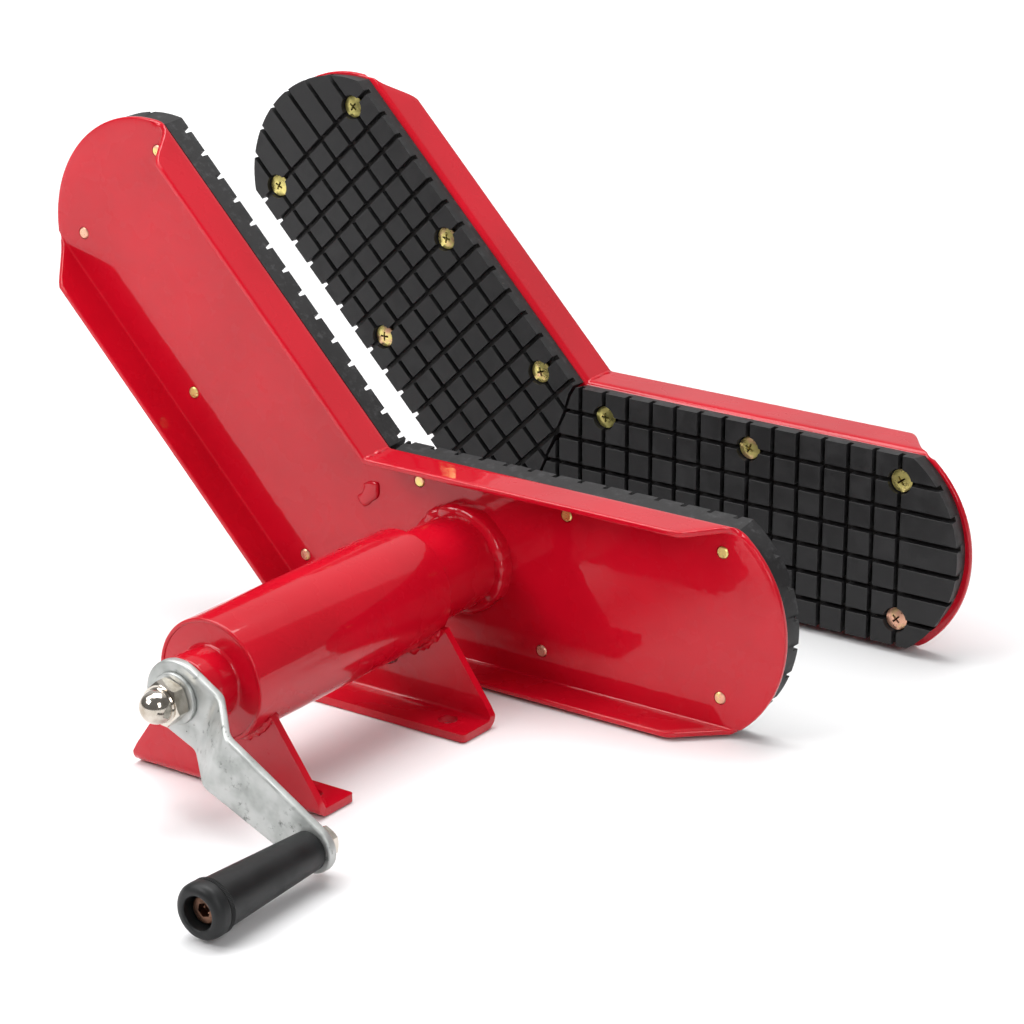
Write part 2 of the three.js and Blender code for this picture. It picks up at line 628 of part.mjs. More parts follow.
function gripNut() {
  const low = ARM_REAR + GRIP_WASHER_THICKNESS + 2 * GAP;
  const hole = rod(GRIP_BOLT_OD / 2 + GAP, low - CUT, low + GRIP_NUT_HEIGHT + CUT, SMALL_ROUND);
  return hexagon(GRIP_NUT_FLATS, low, low + GRIP_NUT_HEIGHT).subtract(hole);
}

function crank() {
  const group = new THREE.Group();
  group.position.z = AXIS_HEIGHT;
  group.rotation.y = THREE.MathUtils.degToRad(CRANK_ANGLE);
  const thread = LEAD_SCREW_OD / 2 + GAP;
  const washerLow = HUB_FRONT - GAP - WASHER_THICKNESS;
  const gripWasher = ring(GRIP_BOLT_OD / 2 + GAP, GRIP_WASHER_OD / 2, ARM_REAR + GAP,
    ARM_REAR + GAP + GRIP_WASHER_THICKNESS, SMALL_ROUND);
  group.add(mesh('lead_screw', leadScrew(), looks.steel));
  group.add(mesh('thrust_washer', ring(thread, THRUST_WASHER_OD / 2, PLATE_REAR + GAP, WASHER_REAR,
    SMALL_ROUND), looks.bronze));
  const collar = ring(thread, COLLAR_OD / 2, COLLAR_FRONT, COLLAR_REAR, SMALL_ROUND);
  group.add(mesh('thrust_collar', collar, looks.steel));
  group.add(mesh('crank_arm', crankArm(), looks.castMetal));
  group.add(mesh('crank_washer', ring(JOURNAL_OD / 2 + GAP, WASHER_OD / 2, washerLow,
    washerLow + WASHER_THICKNESS, SMALL_ROUND), looks.nickel));
  group.add(mesh('acorn_nut', acornNut(), looks.nickel));
  const end = new THREE.Group();
  end.position.x = CRANK_RADIUS;
  end.add(mesh('grip', turned(gripProfile(), SMALL_ROUND), looks.blackPlastic));
  end.add(mesh('grip_bolt', gripBolt(), looks.steel));
  end.add(mesh('grip_washer', gripWasher, looks.nickel));
  end.add(mesh('grip_nut', gripNut(), looks.nickel));
  group.add(end);
  return group;
}

// ---- Assembly --------------------------------------------------------------------------------

function feet() {
  const group = new THREE.Group();
  const front = TUBE_FRONT + FRONT_FOOT_INSET;
  const rear = OUTER_TUBE_REAR - REAR_FOOT_INSET;
  group.add(mesh('front_foot', placed(foot(1, FRONT_FOOT_SHIFT), 0, front, 0), looks.redPaint));
  group.add(mesh('rear_foot', placed(foot(-1), 0, rear, 0), looks.redPaint));
  return group;
}

function movingJaw() {
  const group = jaw('moving', 1);
  group.position.set(KINK_X, JAW_FACE, AXIS_HEIGHT + JAW_RISE);
  return group;
}

function fixedJaw() {
  const group = jaw('fixed', -1);
  group.position.set(KINK_X + FIXED_JAW_SHIFT, FIXED_JAW_FACE, JAW_WIDTH);
  return group;
}

function fixedPost() {
  const group = new THREE.Group();
  group.position.x = FIXED_JAW_SHIFT;
  const tube = ring(OUTER_TUBE_ID / 2, OUTER_TUBE_OD / 2, POST_FRONT, POST_REAR);
  const capRear = POST_REAR - END_PLATE_INSET;
  const cap = rod(OUTER_TUBE_ID / 2 - GAP, capRear - SHEET, capRear);
  group.add(mesh('fixed_post', placed(tube, 0, 0, AXIS_HEIGHT), looks.redPaint));
  group.add(mesh('fixed_post_cap', placed(cap, 0, 0, AXIS_HEIGHT), looks.redPaint));
  group.add(mesh('fixed_foot', placed(foot(-1), 0, POST_REAR - POST_FOOT_INSET, 0), looks.redPaint));
  return group;
}

const wheelClamp = new THREE.Group();
wheelClamp.add(housing(), feet(), slide(), movingJaw(), crank(), fixedJaw(), fixedPost());

export default wheelClamp;
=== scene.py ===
"""Looks of a screw-driven wheel clamp for a motorcycle bench.

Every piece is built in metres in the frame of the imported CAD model, takes its place from the boxes
of the CAD nodes, and rides on one of their bodies: housing, moving_jaw, crank or grip. The tube runs
along Y, from the crank towards the fixed jaw, and the bench is at Z = 0.
"""
import logging
import math
from collections.abc import Callable, Sequence
from dataclasses import dataclass, field
from enum import Enum
from typing import Any

import bmesh
import bpy
from mathutils import Matrix, Vector, noise


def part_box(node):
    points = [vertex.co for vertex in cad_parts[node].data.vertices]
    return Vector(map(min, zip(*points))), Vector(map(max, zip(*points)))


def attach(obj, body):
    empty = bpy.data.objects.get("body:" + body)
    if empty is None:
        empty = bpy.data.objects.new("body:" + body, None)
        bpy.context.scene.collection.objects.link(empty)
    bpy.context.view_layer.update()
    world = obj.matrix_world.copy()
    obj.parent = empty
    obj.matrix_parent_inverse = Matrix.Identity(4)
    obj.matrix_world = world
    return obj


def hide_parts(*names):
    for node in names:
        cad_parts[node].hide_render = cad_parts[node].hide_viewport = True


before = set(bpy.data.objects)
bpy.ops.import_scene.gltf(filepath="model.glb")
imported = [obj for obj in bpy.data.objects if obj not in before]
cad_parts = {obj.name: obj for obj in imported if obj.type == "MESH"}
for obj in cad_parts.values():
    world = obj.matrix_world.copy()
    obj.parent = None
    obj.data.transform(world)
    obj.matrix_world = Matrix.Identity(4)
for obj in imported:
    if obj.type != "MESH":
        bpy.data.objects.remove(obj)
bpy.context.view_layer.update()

MM = 0.001
LOG = logging.getLogger("wheel_clamp")
ON_AXIS = 1e-7       # a smaller radius counts as a point on the axis
WELD_SHARP = 60.0    # degrees; beads are drowned in paint, so few edges stay sharp

Point2 = tuple[float, float]
Setting = Any
Socket, Tree, Node = bpy.types.NodeSocket, bpy.types.NodeTree, bpy.types.Node
Piece, Mesh = bpy.types.Object, bpy.types.Mesh
BMesh, BMVert = bmesh.types.BMesh, bmesh.types.BMVert


class Body(Enum):
    """CAD bodies that the pieces ride on."""

    HOUSING = "housing"
    MOVING_JAW = "moving_jaw"
    CRANK = "crank"
    GRIP = "grip"


class Slot(Enum):
    """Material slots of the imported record."""

    RED_PAINT = "red_paint"
    PAD_RUBBER = "pad_rubber"
    YELLOW_ZINC = "yellow_zinc"
    BRONZE = "bronze"
    MACHINED_STEEL = "machined_steel"
    CRANK_METAL = "crank_metal"
    BRIGHT_NICKEL = "bright_nickel"
    GRIP_PLASTIC = "grip_plastic"


# ---- Colour and nodes ----


def linear(code: str) -> tuple[float, float, float, float]:
    """Turns an sRGB hex colour into linear RGBA.

    Args:
        code: Six hex digits.

    Returns:
        The colour as Blender's shaders take it.
    """
    parts = [int(code[i:i + 2], 16) / 255 for i in (0, 2, 4)]
    turned = [c / 12.92 if c <= 0.04045 else ((c + 0.055) / 1.055) ** 2.4 for c in parts]
    return (turned[0], turned[1], turned[2], 1.0)


def add(
    tree: Tree,
    kind: str,
    inputs: dict[int | str, Setting] | None = None,
    **settings: Setting,
) -> Node:
    """Adds a node with its settings, values and links.

    Args:
        tree: The tree that the node goes in.
        kind: The node's type.
        inputs: Values, or sockets to link from, by input name or number.
        **settings: The node's own properties.

    Returns:
        The node.
    """
    node = tree.nodes.new(kind)
    for name, value in settings.items():
        setattr(node, name, value)
    for key, value in (inputs or {}).items():
        if isinstance(value, Socket):
            tree.links.new(value, node.inputs[key])
        else:
            node.inputs[key].default_value = value
    return node


class Finish:
    """A surface finish, made into one Blender material the first time it is asked for."""

    made: dict["Finish", bpy.types.Material] = {}
    title: str = "finish"
    slot: Slot = Slot.MACHINED_STEEL

    def material(self) -> bpy.types.Material:
        """The finish's material, made once."""
        if self not in Finish.made:
            found = bpy.data.materials.new(self.title)
            found.use_nodes = True
            found.node_tree.nodes.clear()
            shader = self.shade(found.node_tree)
            add(found.node_tree, "ShaderNodeOutputMaterial", {"Surface": shader.outputs["BSDF"]})
            Finish.made[self] = found
        return Finish.made[self]

    def shade(self, tree: Tree) -> Node:
        """Builds the nodes and returns the shader node."""
        raise NotImplementedError


def reckon(tree: Tree, operation: str, first: Setting, second: Setting = 0.0) -> Socket:
    """One step of arithmetic on two values."""
    return add(tree, "ShaderNodeMath", {0: first, 1: second}, operation=operation).outputs["Value"]


def place_of(tree: Tree) -> Socket:
    """Each point's place on the object, in metres."""
    return add(tree, "ShaderNodeTexCoord").outputs["Object"]


def grain(
    tree: Tree, size: float, detail: float = 2.0, roughness: float = 0.5
) -> Socket:
    """A soft noise from 0 to 1 whose lumps are about a given size.

    Args:
        tree: The material's tree.
        size: Size of a lump, in metres.
        detail: How many finer layers it has.
        roughness: How strong the finer layers are.

    Returns:
        The noise's factor.
    """
    settings = {"Vector": place_of(tree), "Scale": 1 / size, "Detail": detail, "Roughness": roughness}
    return add(tree, "ShaderNodeTexNoise", settings).outputs["Fac"]


def banded(
    tree: Tree, value: Socket, low: float, high: float,
    to_low: float = 0.0, to_high: float = 1.0,
) -> Socket:
    """Maps a value from one range to another, smoothly and clamped.

    Args:
        tree: The material's tree.
        value: What is mapped.
        low: The value that gives to_low.
        high: The value that gives to_high.
        to_low: Result at low.
        to_high: Result at high.

    Returns:
        The mapped value.
    """
    settings = {"Value": value, "From Min": low, "From Max": high, "To Min": to_low, "To Max": to_high}
    return add(tree, "ShaderNodeMapRange", settings, interpolation_type="SMOOTHSTEP").outputs["Result"]


def mixed(
    tree: Tree, share: Socket, first: Setting, second: Setting
) -> Socket:
    """Mixes two colours by a share.

    Args:
        tree: The material's tree.
        share: 0 gives the first, 1 the second.
        first: A colour or a socket.
        second: A colour or a socket.

    Returns:
        The mixed colour.
    """
    return add(tree, "ShaderNodeMix", {0: share, 6: first, 7: second}, data_type="RGBA").outputs[2]


def bumped(
    tree: Tree, height: Socket, depth: float, strength: float,
    under: Socket | None = None,
) -> Socket:
    """A bump of a real depth.

    Args:
        tree: The material's tree.
        height: The height, from 0 to 1.
        depth: What a height of 1 stands for, in metres.
        strength: Share of the bump that shows.
        under: Another bump's normal that this one lies on.

    Returns:
        The normal.
    """
    settings: dict[int | str, Setting] = {"Height": height, "Distance": depth, "Strength": strength}
    if under is not None:
        settings["Normal"] = under
    return add(tree, "ShaderNodeBump", settings).outputs["Normal"]


def specks(
    tree: Tree, apart: float, size: float, wanted: float = 0.5
) -> Socket:
    """Small scattered dots, 1 inside a dot and 0 elsewhere.

    Args:
        tree: The material's tree.
        apart: Typical distance between two dots, in metres.
        size: A dot's radius, in metres.
        wanted: Share of the cells that have a dot.

    Returns:
        The dots' factor.
    """
    cells = add(tree, "ShaderNodeTexVoronoi", {"Vector": place_of(tree), "Scale": 1 / apart})
    dot = banded(tree, cells.outputs["Distance"], size / apart, 0.6 * size / apart)
    split = add(tree, "ShaderNodeSeparateColor", {"Color": cells.outputs["Color"]})
    return reckon(tree, "MULTIPLY", dot, reckon(tree, "LESS_THAN", split.outputs["Red"], wanted))


# ---- Finishes ----


@dataclass(frozen=True)
class PowderCoat(Finish):
    """Gloss red polyester powder coat, sprayed and baked on steel.

    It flows into a thick glassy skin, so lights show crisp in it over a faint orange peel, edges
    catch a bright line, and dust under it makes small pits.
    """

    title: str = "gloss_red_powder_coat"
    slot: Slot = Slot.RED_PAINT
    base: str = "BE0920"
    deep: str = "B2081C"
    speck: str = "5A1A10"
    peel_size: float = 5.5 * MM
    peel_depth: float = 0.03 * MM
    flow_size: float = 38 * MM
    flow_depth: float = 0.22 * MM

    def shade(self, tree: Tree) -> Node:
        """Builds the paint."""
        dust = specks(tree, 26 * MM, 0.55 * MM, 0.45)
        cloud = banded(tree, grain(tree, 70 * MM, 3.0), 0.35, 0.7)
        colour = mixed(tree, cloud, linear(self.base), linear(self.deep))
        colour = mixed(tree, dust, colour, linear(self.speck))
        peel = bumped(tree, grain(tree, self.peel_size, 1.0), self.peel_depth, 1.0)
        flow = bumped(tree, grain(tree, self.flow_size, 1.0), self.flow_depth, 1.0, peel)
        pits = bumped(tree, dust, 0.12 * MM, 0.7, flow)
        roughness = banded(tree, grain(tree, 22 * MM, 4.0), 0.3, 0.75, 0.22, 0.34)
        return add(tree, "ShaderNodeBsdfPrincipled", {
            "Base Color": colour, "Roughness": roughness, "IOR": 1.5, "Normal": pits,
            "Specular IOR Level": 0.08, "Coat Weight": 0.7, "Coat Roughness": 0.015,
            "Coat Normal": pits,
        })


@dataclass(frozen=True)
class TreadRubber(Finish):
    """Black natural rubber sheet, moulded with a square tread and cut to shape with a knife.

    It is almost matt and soft grey where light grazes it, with bloom, painted light streaked like chalk on
    the cut walls, painted shade on the groove floors, and dust specks.
    """

    face: float = 0.0
    towards: int = 1
    title: str = "black_tread_rubber"
    slot: Slot = Slot.PAD_RUBBER
    base: str = "191819"
    worn: str = "232223"
    # painted shade: the dark brown of the groove floors
    floor: str = "130E0B"
    # painted light: the lit grey of the cut walls
    painted_wall_light: str = "6A6A6C"
    dust: str = "8F8070"
    groove: float = 4.2 * MM
    # share of painted light on the cut walls
    wall_light_share: float = 0.3

    def shade(self, tree: Tree) -> Node:
        """Builds the rubber."""
        across = add(tree, "ShaderNodeSeparateXYZ", {"Vector": place_of(tree)}).outputs["Y"]
        # how deep into a groove a point lies, which sets the painted shade below
        top, bottom = self.face - self.towards * 0.8 * MM, self.face - self.towards * self.groove
        depth = banded(tree, across, top, bottom)
        bloom = banded(tree, grain(tree, 16 * MM, 4.0, 0.6), 0.42, 0.72)
        colour = mixed(tree, bloom, linear(self.base), linear(self.worn))
        facing = add(tree, "ShaderNodeNewGeometry").outputs["Normal"]
        facing = add(tree, "ShaderNodeSeparateXYZ", {"Vector": facing}).outputs["Y"]
        flat = reckon(tree, "ABSOLUTE", facing)
        # painted shade: faces that look out of the pad turn dark brown the deeper they lie, so the groove
        # floors are shaded
        colour = mixed(tree, reckon(tree, "MULTIPLY", depth, flat), colour, linear(self.floor))
        streaks = banded(tree, grain(tree, 5 * MM, 5.0, 0.7), 0.5, 0.78)
        # painted light: the sideways-facing cut walls are lightened in streaks
        wall_light_mask = reckon(tree, "MULTIPLY", banded(tree, flat, 0.6, 0.2), streaks)
        colour = mixed(tree, reckon(tree, "MULTIPLY", wall_light_mask, self.wall_light_share), colour, linear(self.painted_wall_light))
        colour = mixed(tree, specks(tree, 13 * MM, 0.32 * MM, 0.35), colour, linear(self.dust))
        fine = bumped(tree, grain(tree, 0.9 * MM, 3.0, 0.6), 0.06 * MM, 0.8)
        cut = bumped(tree, grain(tree, 9 * MM, 2.0), 0.35 * MM, 0.6, fine)
        roughness = banded(tree, bloom, 0.0, 1.0, 0.5, 0.68)
        return add(tree, "ShaderNodeBsdfPrincipled", {
            "Base Color": colour, "Roughness": roughness, "IOR": 1.52, "Normal": cut,
            "Specular IOR Level": 0.4,
        })


@dataclass(frozen=True)
class YellowZinc(Finish):
    """Zinc plate with a yellow chromate passivation, as on a wood screw.

    The film is thin enough to shift from straw to pink and olive, and it is stained brown where
    the driver has worn it.
    """

    title: str = "yellow_passivated_zinc"
    slot: Slot = Slot.YELLOW_ZINC
    straw: str = "E6D684"
    pink: str = "E5AE93"
    olive: str = "B0A764"
    stain: str = "3A2A18"

    def shade(self, tree: Tree) -> Node:
        """Builds the plate, which reads each screw's own tint and stain."""
        tint = add(tree, "ShaderNodeAttribute", attribute_name="tint").outputs["Fac"]
        worn = add(tree, "ShaderNodeAttribute", attribute_name="stain").outputs["Fac"]
        drift = banded(tree, grain(tree, 5 * MM, 1.0), 0.3, 0.7, -0.16, 0.16)
        tint = reckon(tree, "ADD", tint, drift)
        colour = mixed(tree, banded(tree, tint, 0.1, 0.5), linear(self.olive), linear(self.straw))
        colour = mixed(tree, banded(tree, tint, 0.6, 0.9), colour, linear(self.pink))
        colour = mixed(tree, worn, colour, linear(self.stain))
        rough = banded(tree, grain(tree, 2.2 * MM, 2.0), 0.3, 0.7, 0.26, 0.4)
        dents = bumped(tree, grain(tree, 3.0 * MM, 1.0), 0.03 * MM, 0.5)
        return add(tree, "ShaderNodeBsdfPrincipled", {
            "Base Color": colour, "Metallic": 0.8, "Roughness": rough, "Normal": dents,
        })


@dataclass(frozen=True)
class GalvanisedSteel(Finish):
    """Hot-dipped zinc on a hot-pressed steel bar.

    It is a soft light grey with cloudy darker smears and small dull pits.
    """

    title: str = "galvanised_pressed_steel"
    slot: Slot = Slot.CRANK_METAL
    light: str = "B9BBB9"
    cloud: str = "9B9E9B"
    smear: str = "5D605C"

    def shade(self, tree: Tree) -> Node:
        """Builds the zinc."""
        clouds = banded(tree, grain(tree, 15 * MM, 3.0, 0.55), 0.4, 0.72)
        colour = mixed(tree, clouds, linear(self.light), linear(self.cloud))
        wanted = banded(tree, grain(tree, 28 * MM, 1.0), 0.42, 0.58)
        smears = banded(tree, grain(tree, 4.2 * MM, 5.0, 0.65), 0.55, 0.74)
        colour = mixed(tree, reckon(tree, "MULTIPLY", smears, wanted), colour, linear(self.smear))
        pits = specks(tree, 4.6 * MM, 0.4 * MM, 0.5)
        colour = mixed(tree, pits, colour, linear(self.smear))
        skin = bumped(tree, grain(tree, 2.6 * MM, 4.0, 0.6), 0.10 * MM, 0.6)
        normal = bumped(tree, pits, -0.2 * MM, 0.5, skin)
        roughness = banded(tree, grain(tree, 7 * MM, 3.0), 0.3, 0.7, 0.36, 0.56)
        return add(tree, "ShaderNodeBsdfPrincipled", {
            "Base Color": colour, "Metallic": 0.75, "Roughness": roughness, "Normal": normal,
        })


@dataclass(frozen=True)
class PlainMetal(Finish):
    """A bare or plated turned metal with faint clouding and fine wear.

    Bright nickel is warm white and mirror-like, machined steel a greyer satin, and bronze a brown
    gold that dulls in patches.
    """

    title: str = "bright_nickel_plate"
    slot: Slot = Slot.BRIGHT_NICKEL
    base: str = "CFC8BE"
    dull: str = "A89C8D"
    smooth: float = 0.1
    rough: float = 0.2
    lump: float = 9 * MM

    def shade(self, tree: Tree) -> Node:
        """Builds the metal."""
        cloud = banded(tree, grain(tree, self.lump, 4.0, 0.6), 0.4, 0.75)
        colour = mixed(tree, cloud, linear(self.base), linear(self.dull))
        roughness = banded(tree, grain(tree, 0.5 * self.lump, 3.0), 0.3, 0.7, self.smooth, self.rough)
        wear = bumped(tree, grain(tree, 0.12 * self.lump, 3.0), 0.02 * MM, 0.4)
        return add(tree, "ShaderNodeBsdfPrincipled", {
            "Base Color": colour, "Metallic": 1.0, "Roughness": roughness, "Normal": wear,
        })


@dataclass(frozen=True)
class MouldedNylon(Finish):
    """Black glass-filled nylon, moulded with a fine spark texture.

    It is a satin charcoal with an even fine grain and slightly greyer where hands rub it.
    """

    title: str = "black_moulded_nylon"
    slot: Slot = Slot.GRIP_PLASTIC
    base: str = "0D0E0F"
    rubbed: str = "151617"
    dust: str = "6B6B6B"

    def shade(self, tree: Tree) -> Node:
        """Builds the plastic."""
        rub = banded(tree, grain(tree, 14 * MM, 3.0), 0.4, 0.7)
        colour = mixed(tree, rub, linear(self.base), linear(self.rubbed))
        colour = mixed(tree, specks(tree, 9 * MM, 0.25 * MM, 0.25), colour, linear(self.dust))
        grit = bumped(tree, grain(tree, 0.55 * MM, 2.0), 0.04 * MM, 0.7)
        roughness = banded(tree, rub, 0.0, 1.0, 0.42, 0.54)
        return add(tree, "ShaderNodeBsdfPrincipled", {
            "Base Color": colour, "Roughness": roughness, "Specular IOR Level": 0.36, "Normal": grit,
        })


PAINT = PowderCoat()
ZINC = YellowZinc()
GALVANISED = GalvanisedSteel()
NICKEL = PlainMetal()
STEEL = PlainMetal("machined_steel", Slot.MACHINED_STEEL, "A2A4A6", "7C7E80", 0.22, 0.38, 6 * MM)
OILED_STEEL = PlainMetal(
    "oiled_socket_screw_steel", Slot.MACHINED_STEEL, "7A5A4A", "4A3930", 0.3, 0.5, 4 * MM
)
BRONZE = PlainMetal("sintered_bronze", Slot.BRONZE, "A9783F", "7E5A31", 0.28, 0.46, 4 * MM)
NYLON = MouldedNylon()


# ---- Mesh helpers ----


def new_object(name: str, mesh: Mesh) -> Piece:
    """Links a mesh to the scene as an object at the origin."""
    made = bpy.data.objects.new(name, mesh)
    bpy.context.scene.collection.objects.link(made)
    return made


def from_bmesh(name: str, work: BMesh, sharp: float = 32.0) -> Piece:
    """Closes a bmesh into a smooth-shaded object with its faces pointing outwards.

    Args:
        name: The object's name.
        work: The bmesh, which is freed.
        sharp: Edges over this many degrees stay sharp.

    Returns:
        The object.
    """
    bmesh.ops.remove_doubles(work, verts=work.verts, dist=1e-6)
    bmesh.ops.recalc_face_normals(work, faces=work.faces)
    mesh = bpy.data.meshes.new(name)
    work.to_mesh(mesh)
    work.free()
    smooth(mesh, sharp)
    return new_object(name, mesh)


def smooth(mesh: Mesh, sharp: float) -> None:
    """Shades a mesh smooth, with edges over a number of degrees kept sharp."""
    mesh.shade_smooth()
    mesh.set_sharp_from_angle(angle=math.radians(sharp))


def settled(made: Piece, sharp: float = 32.0) -> Piece:
    """Turns an object's modifiers into plain mesh.

    Args:
        made: The object.
        sharp: Edges over this many degrees stay sharp.

    Returns:
        The same object, with no modifier left.
    """
    bpy.context.view_layer.update()
    seen = made.evaluated_get(bpy.context.evaluated_depsgraph_get())
    mesh = bpy.data.meshes.new_from_object(seen)
    made.modifiers.clear()
    old = made.data
    made.data = mesh
    mesh.name = made.name
    bpy.data.meshes.remove(old)
    smooth(mesh, sharp)
    return made


def rounded_edges(
    made: Piece, width: float, segments: int = 3, angle: float = 35.0
) -> Piece:
    """Rounds an object's sharp edges.

    Args:
        made: The object.
        width: How wide the rounding is, in metres.
        segments: Facets across it.
        angle: Edges over this many degrees are rounded.

    Returns:
        The same object.
    """
    bevel = made.modifiers.new("edge", "BEVEL")
    bevel.limit_method = "ANGLE"
    bevel.angle_limit = math.radians(angle)
    bevel.width = width
    bevel.segments = segments
    bevel.use_clamp_overlap = True
    bevel.miter_outer = "MITER_ARC"
    return settled(made)


def cut_by(made: Piece, *cutters: Piece) -> Piece:
    """Cuts solids out of an object and throws them away.

    Args:
        made: The object that is cut.
        *cutters: The solids.

    Returns:
        The same object.
    """
    for cutter in cutters:
        cut = made.modifiers.new("cut", "BOOLEAN")
        cut.operation = "DIFFERENCE"
        cut.solver = "EXACT"
        cut.object = cutter
    settled(made)
    thrown_away(*cutters)
    return made


def thrown_away(*objects: Piece) -> None:
    """Removes helper objects and their meshes."""
    for made in objects:
        mesh = made.data
        bpy.data.objects.remove(made)
        bpy.data.meshes.remove(mesh)


def ring(
    work: BMesh, x: float, z: float, radius: float, y: float, facets: int
) -> list[BMVert]:
    """Adds a circle of points about a line along Y.

    Args:
        work: The bmesh that they go in.
        x: The line's place along X.
        z: Its height.
        radius: The circle's radius.
        y: Where the circle is along Y.
        facets: Number of points.

    Returns:
        The points.
    """
    turns = [2 * math.pi * k / facets for k in range(facets)]
    return [work.verts.new((x + radius * math.cos(t), y, z + radius * math.sin(t))) for t in turns]


def skinned(work: BMesh, rings: Sequence[Sequence[BMVert]], closed: bool) -> None:
    """Lays faces from each ring of points to the next.

    Args:
        work: The bmesh that they are in.
        rings: The rings, all of one length.
        closed: True where the last ring joins the first; else both end rings are filled.
    """
    following = [*rings[1:], rings[0]] if closed else rings[1:]
    for low, high in zip(rings, following):
        for k in range(len(low)):
            after = (k + 1) % len(low)
            work.faces.new([low[k], low[after], high[after], high[k]])
    if not closed:
        work.faces.new(rings[0])
        work.faces.new(rings[-1])


def folded(name: str, rows: Sequence[Sequence[tuple[Vector, Vector]]]) -> Piece:
    """Folded sheet steel from rows of matched places on its outside and its inside.

    Args:
        name: The object's name.
        rows: The rows, all of one length.

    Returns:
        The object.
    """
    work = bmesh.new()
    grid = [[(work.verts.new(outer), work.verts.new(inner)) for outer, inner in row] for row in rows]
    for a, b in zip(grid, grid[1:]):
        for i in range(len(a) - 1):
            work.faces.new([a[i][0], a[i + 1][0], b[i + 1][0], b[i][0]])
            work.faces.new([a[i][1], b[i][1], b[i + 1][1], a[i + 1][1]])
        for i in (0, -1):
            work.faces.new([a[i][0], b[i][0], b[i][1], a[i][1]])
    for row in (grid[0], grid[-1]):
        for i in range(len(row) - 1):
            work.faces.new([row[i][0], row[i][1], row[i + 1][1], row[i + 1][0]])
    return from_bmesh(name, work)


def arc(centre: Point2, radius: float, start: float, end: float, steps: int) -> list[Point2]:
    """Points along a circle's arc.

    Args:
        centre: The circle's centre.
        radius: Its radius.
        start: First angle, in radians.
        end: Last angle, in radians.
        steps: Number of stretches.

    Returns:
        The points, both ends included.
    """
    turns = [start + (end - start) * i / steps for i in range(steps + 1)]
    return [(centre[0] + radius * math.cos(t), centre[1] + radius * math.sin(t)) for t in turns]


def filleted(points: Sequence[Point2], radii: Sequence[float], steps: int = 5) -> list[Point2]:
    """Rounds the corners of a closed outline.

    Args:
        points: The outline's corners.
        radii: Each corner's radius, where 0 leaves it sharp.
        steps: Facets across each rounded corner.

    Returns:
        The rounded outline.
    """
    result: list[Point2] = []
    count = len(points)
    for i, radius in enumerate(radii):
        corner = Vector(points[i])
        if radius <= 0:
            result.append(points[i])
            continue
        back = (Vector(points[i - 1]) - corner).normalized()
        ahead = (Vector(points[(i + 1) % count]) - corner).normalized()
        half = back.angle(ahead) / 2
        centre = corner + (back + ahead).normalized() * radius / math.sin(half)
        first = corner + back * radius / math.tan(half) - centre
        last = corner + ahead * radius / math.tan(half) - centre
        turn = math.atan2(first.cross(last), first.dot(last))
        for k in range(steps + 1):
            spoke = Matrix.Rotation(turn * k / steps, 2) @ first
            result.append((centre.x + spoke.x, centre.y + spoke.y))
    return result


def lathe(
    name: str, profile: Sequence[Point2], x: float, z: float, facets: int = 96, sharp: float = 32.0
) -> Piece:
    """A closed turned piece about a line along Y.

    Args:
        name: The object's name.
        profile: Closed outline of (radius, y), where a radius of 0 lies on the axis.
        x: The axis's place along X.
        z: The axis's height.
        facets: Number of facets round it.
        sharp: Edges over this many degrees stay sharp.

    Returns:
        The object.
    """
    work = bmesh.new()
    rings = [
        [work.verts.new((x, y, z))] if radius < ON_AXIS else ring(work, x, z, radius, y, facets)
        for radius, y in profile
    ]
    for low, high in zip(rings, rings[1:] + rings[:1]):
        if len(low) == len(high) == 1:
            continue
        for k in range(facets):
            after = (k + 1) % facets
            corners = [low[k % len(low)], low[after % len(low)], high[after % len(high)], high[k % len(high)]]
            work.faces.new(list(dict.fromkeys(corners)))
    return from_bmesh(name, work, sharp)


def turned_ring(
    name: str, node: str, bore: float, radii: Sequence[float], steps: int, facets: int,
    outside: float | None = None,
) -> Piece:
    """A turned ring in the place of a round CAD node, its four corners rounded.

    Args:
        name: The object's name.
        node: The CAD node.
        bore: Radius of its hole.
        radii: Corner radii: bore rear, bore front, outside front, outside rear.
        steps: Facets across each rounded corner.
        facets: Number of facets round it.
        outside: Its outer radius, where it isn't the node's own.

    Returns:
        The object.
    """
    seat = Round(node)
    edge = seat.radius if outside is None else outside
    corners = [(bore, seat.rear), (bore, seat.front), (edge, seat.front), (edge, seat.rear)]
    return lathe(name, filleted(corners, radii, steps), seat.x, seat.z, facets)


def hexagon(
    name: str, x: float, z: float, flats: float, low: float, high: float, turn: float
) -> Piece:
    """A hexagon body along Y, its corners turned down to a chamfer at both ends.

    Args:
        name: The object's name.
        x: Its axis along X.
        z: Its axis's height.
        flats: Distance across its flats.
        low: Where it starts along Y.
        high: Where it ends.
        turn: How far it is turned, in radians.

    Returns:
        The object.
    """
    work = bmesh.new()
    facets = 48
    apothem = flats / 2
    rings = []
    for y, end in ((low, True), (low, False), (high, False), (high, True)):
        row = []
        for k in range(facets):
            angle = 2 * math.pi * k / facets
            reach = apothem / math.cos((angle % (math.pi / 3)) - math.pi / 6)
            lost = (reach - apothem) * math.tan(math.radians(30)) + 0.12 * MM
            inward = math.copysign(lost, low + high - 2 * y)
            spoke, level = (min(reach, apothem * 0.985), y) if end else (reach, y + inward)
            angle += turn
            row.append(work.verts.new((x + spoke * math.cos(angle), level, z + spoke * math.sin(angle))))
        rings.append(row)
    skinned(work, rings, False)
    return from_bmesh(name, work, 25.0)


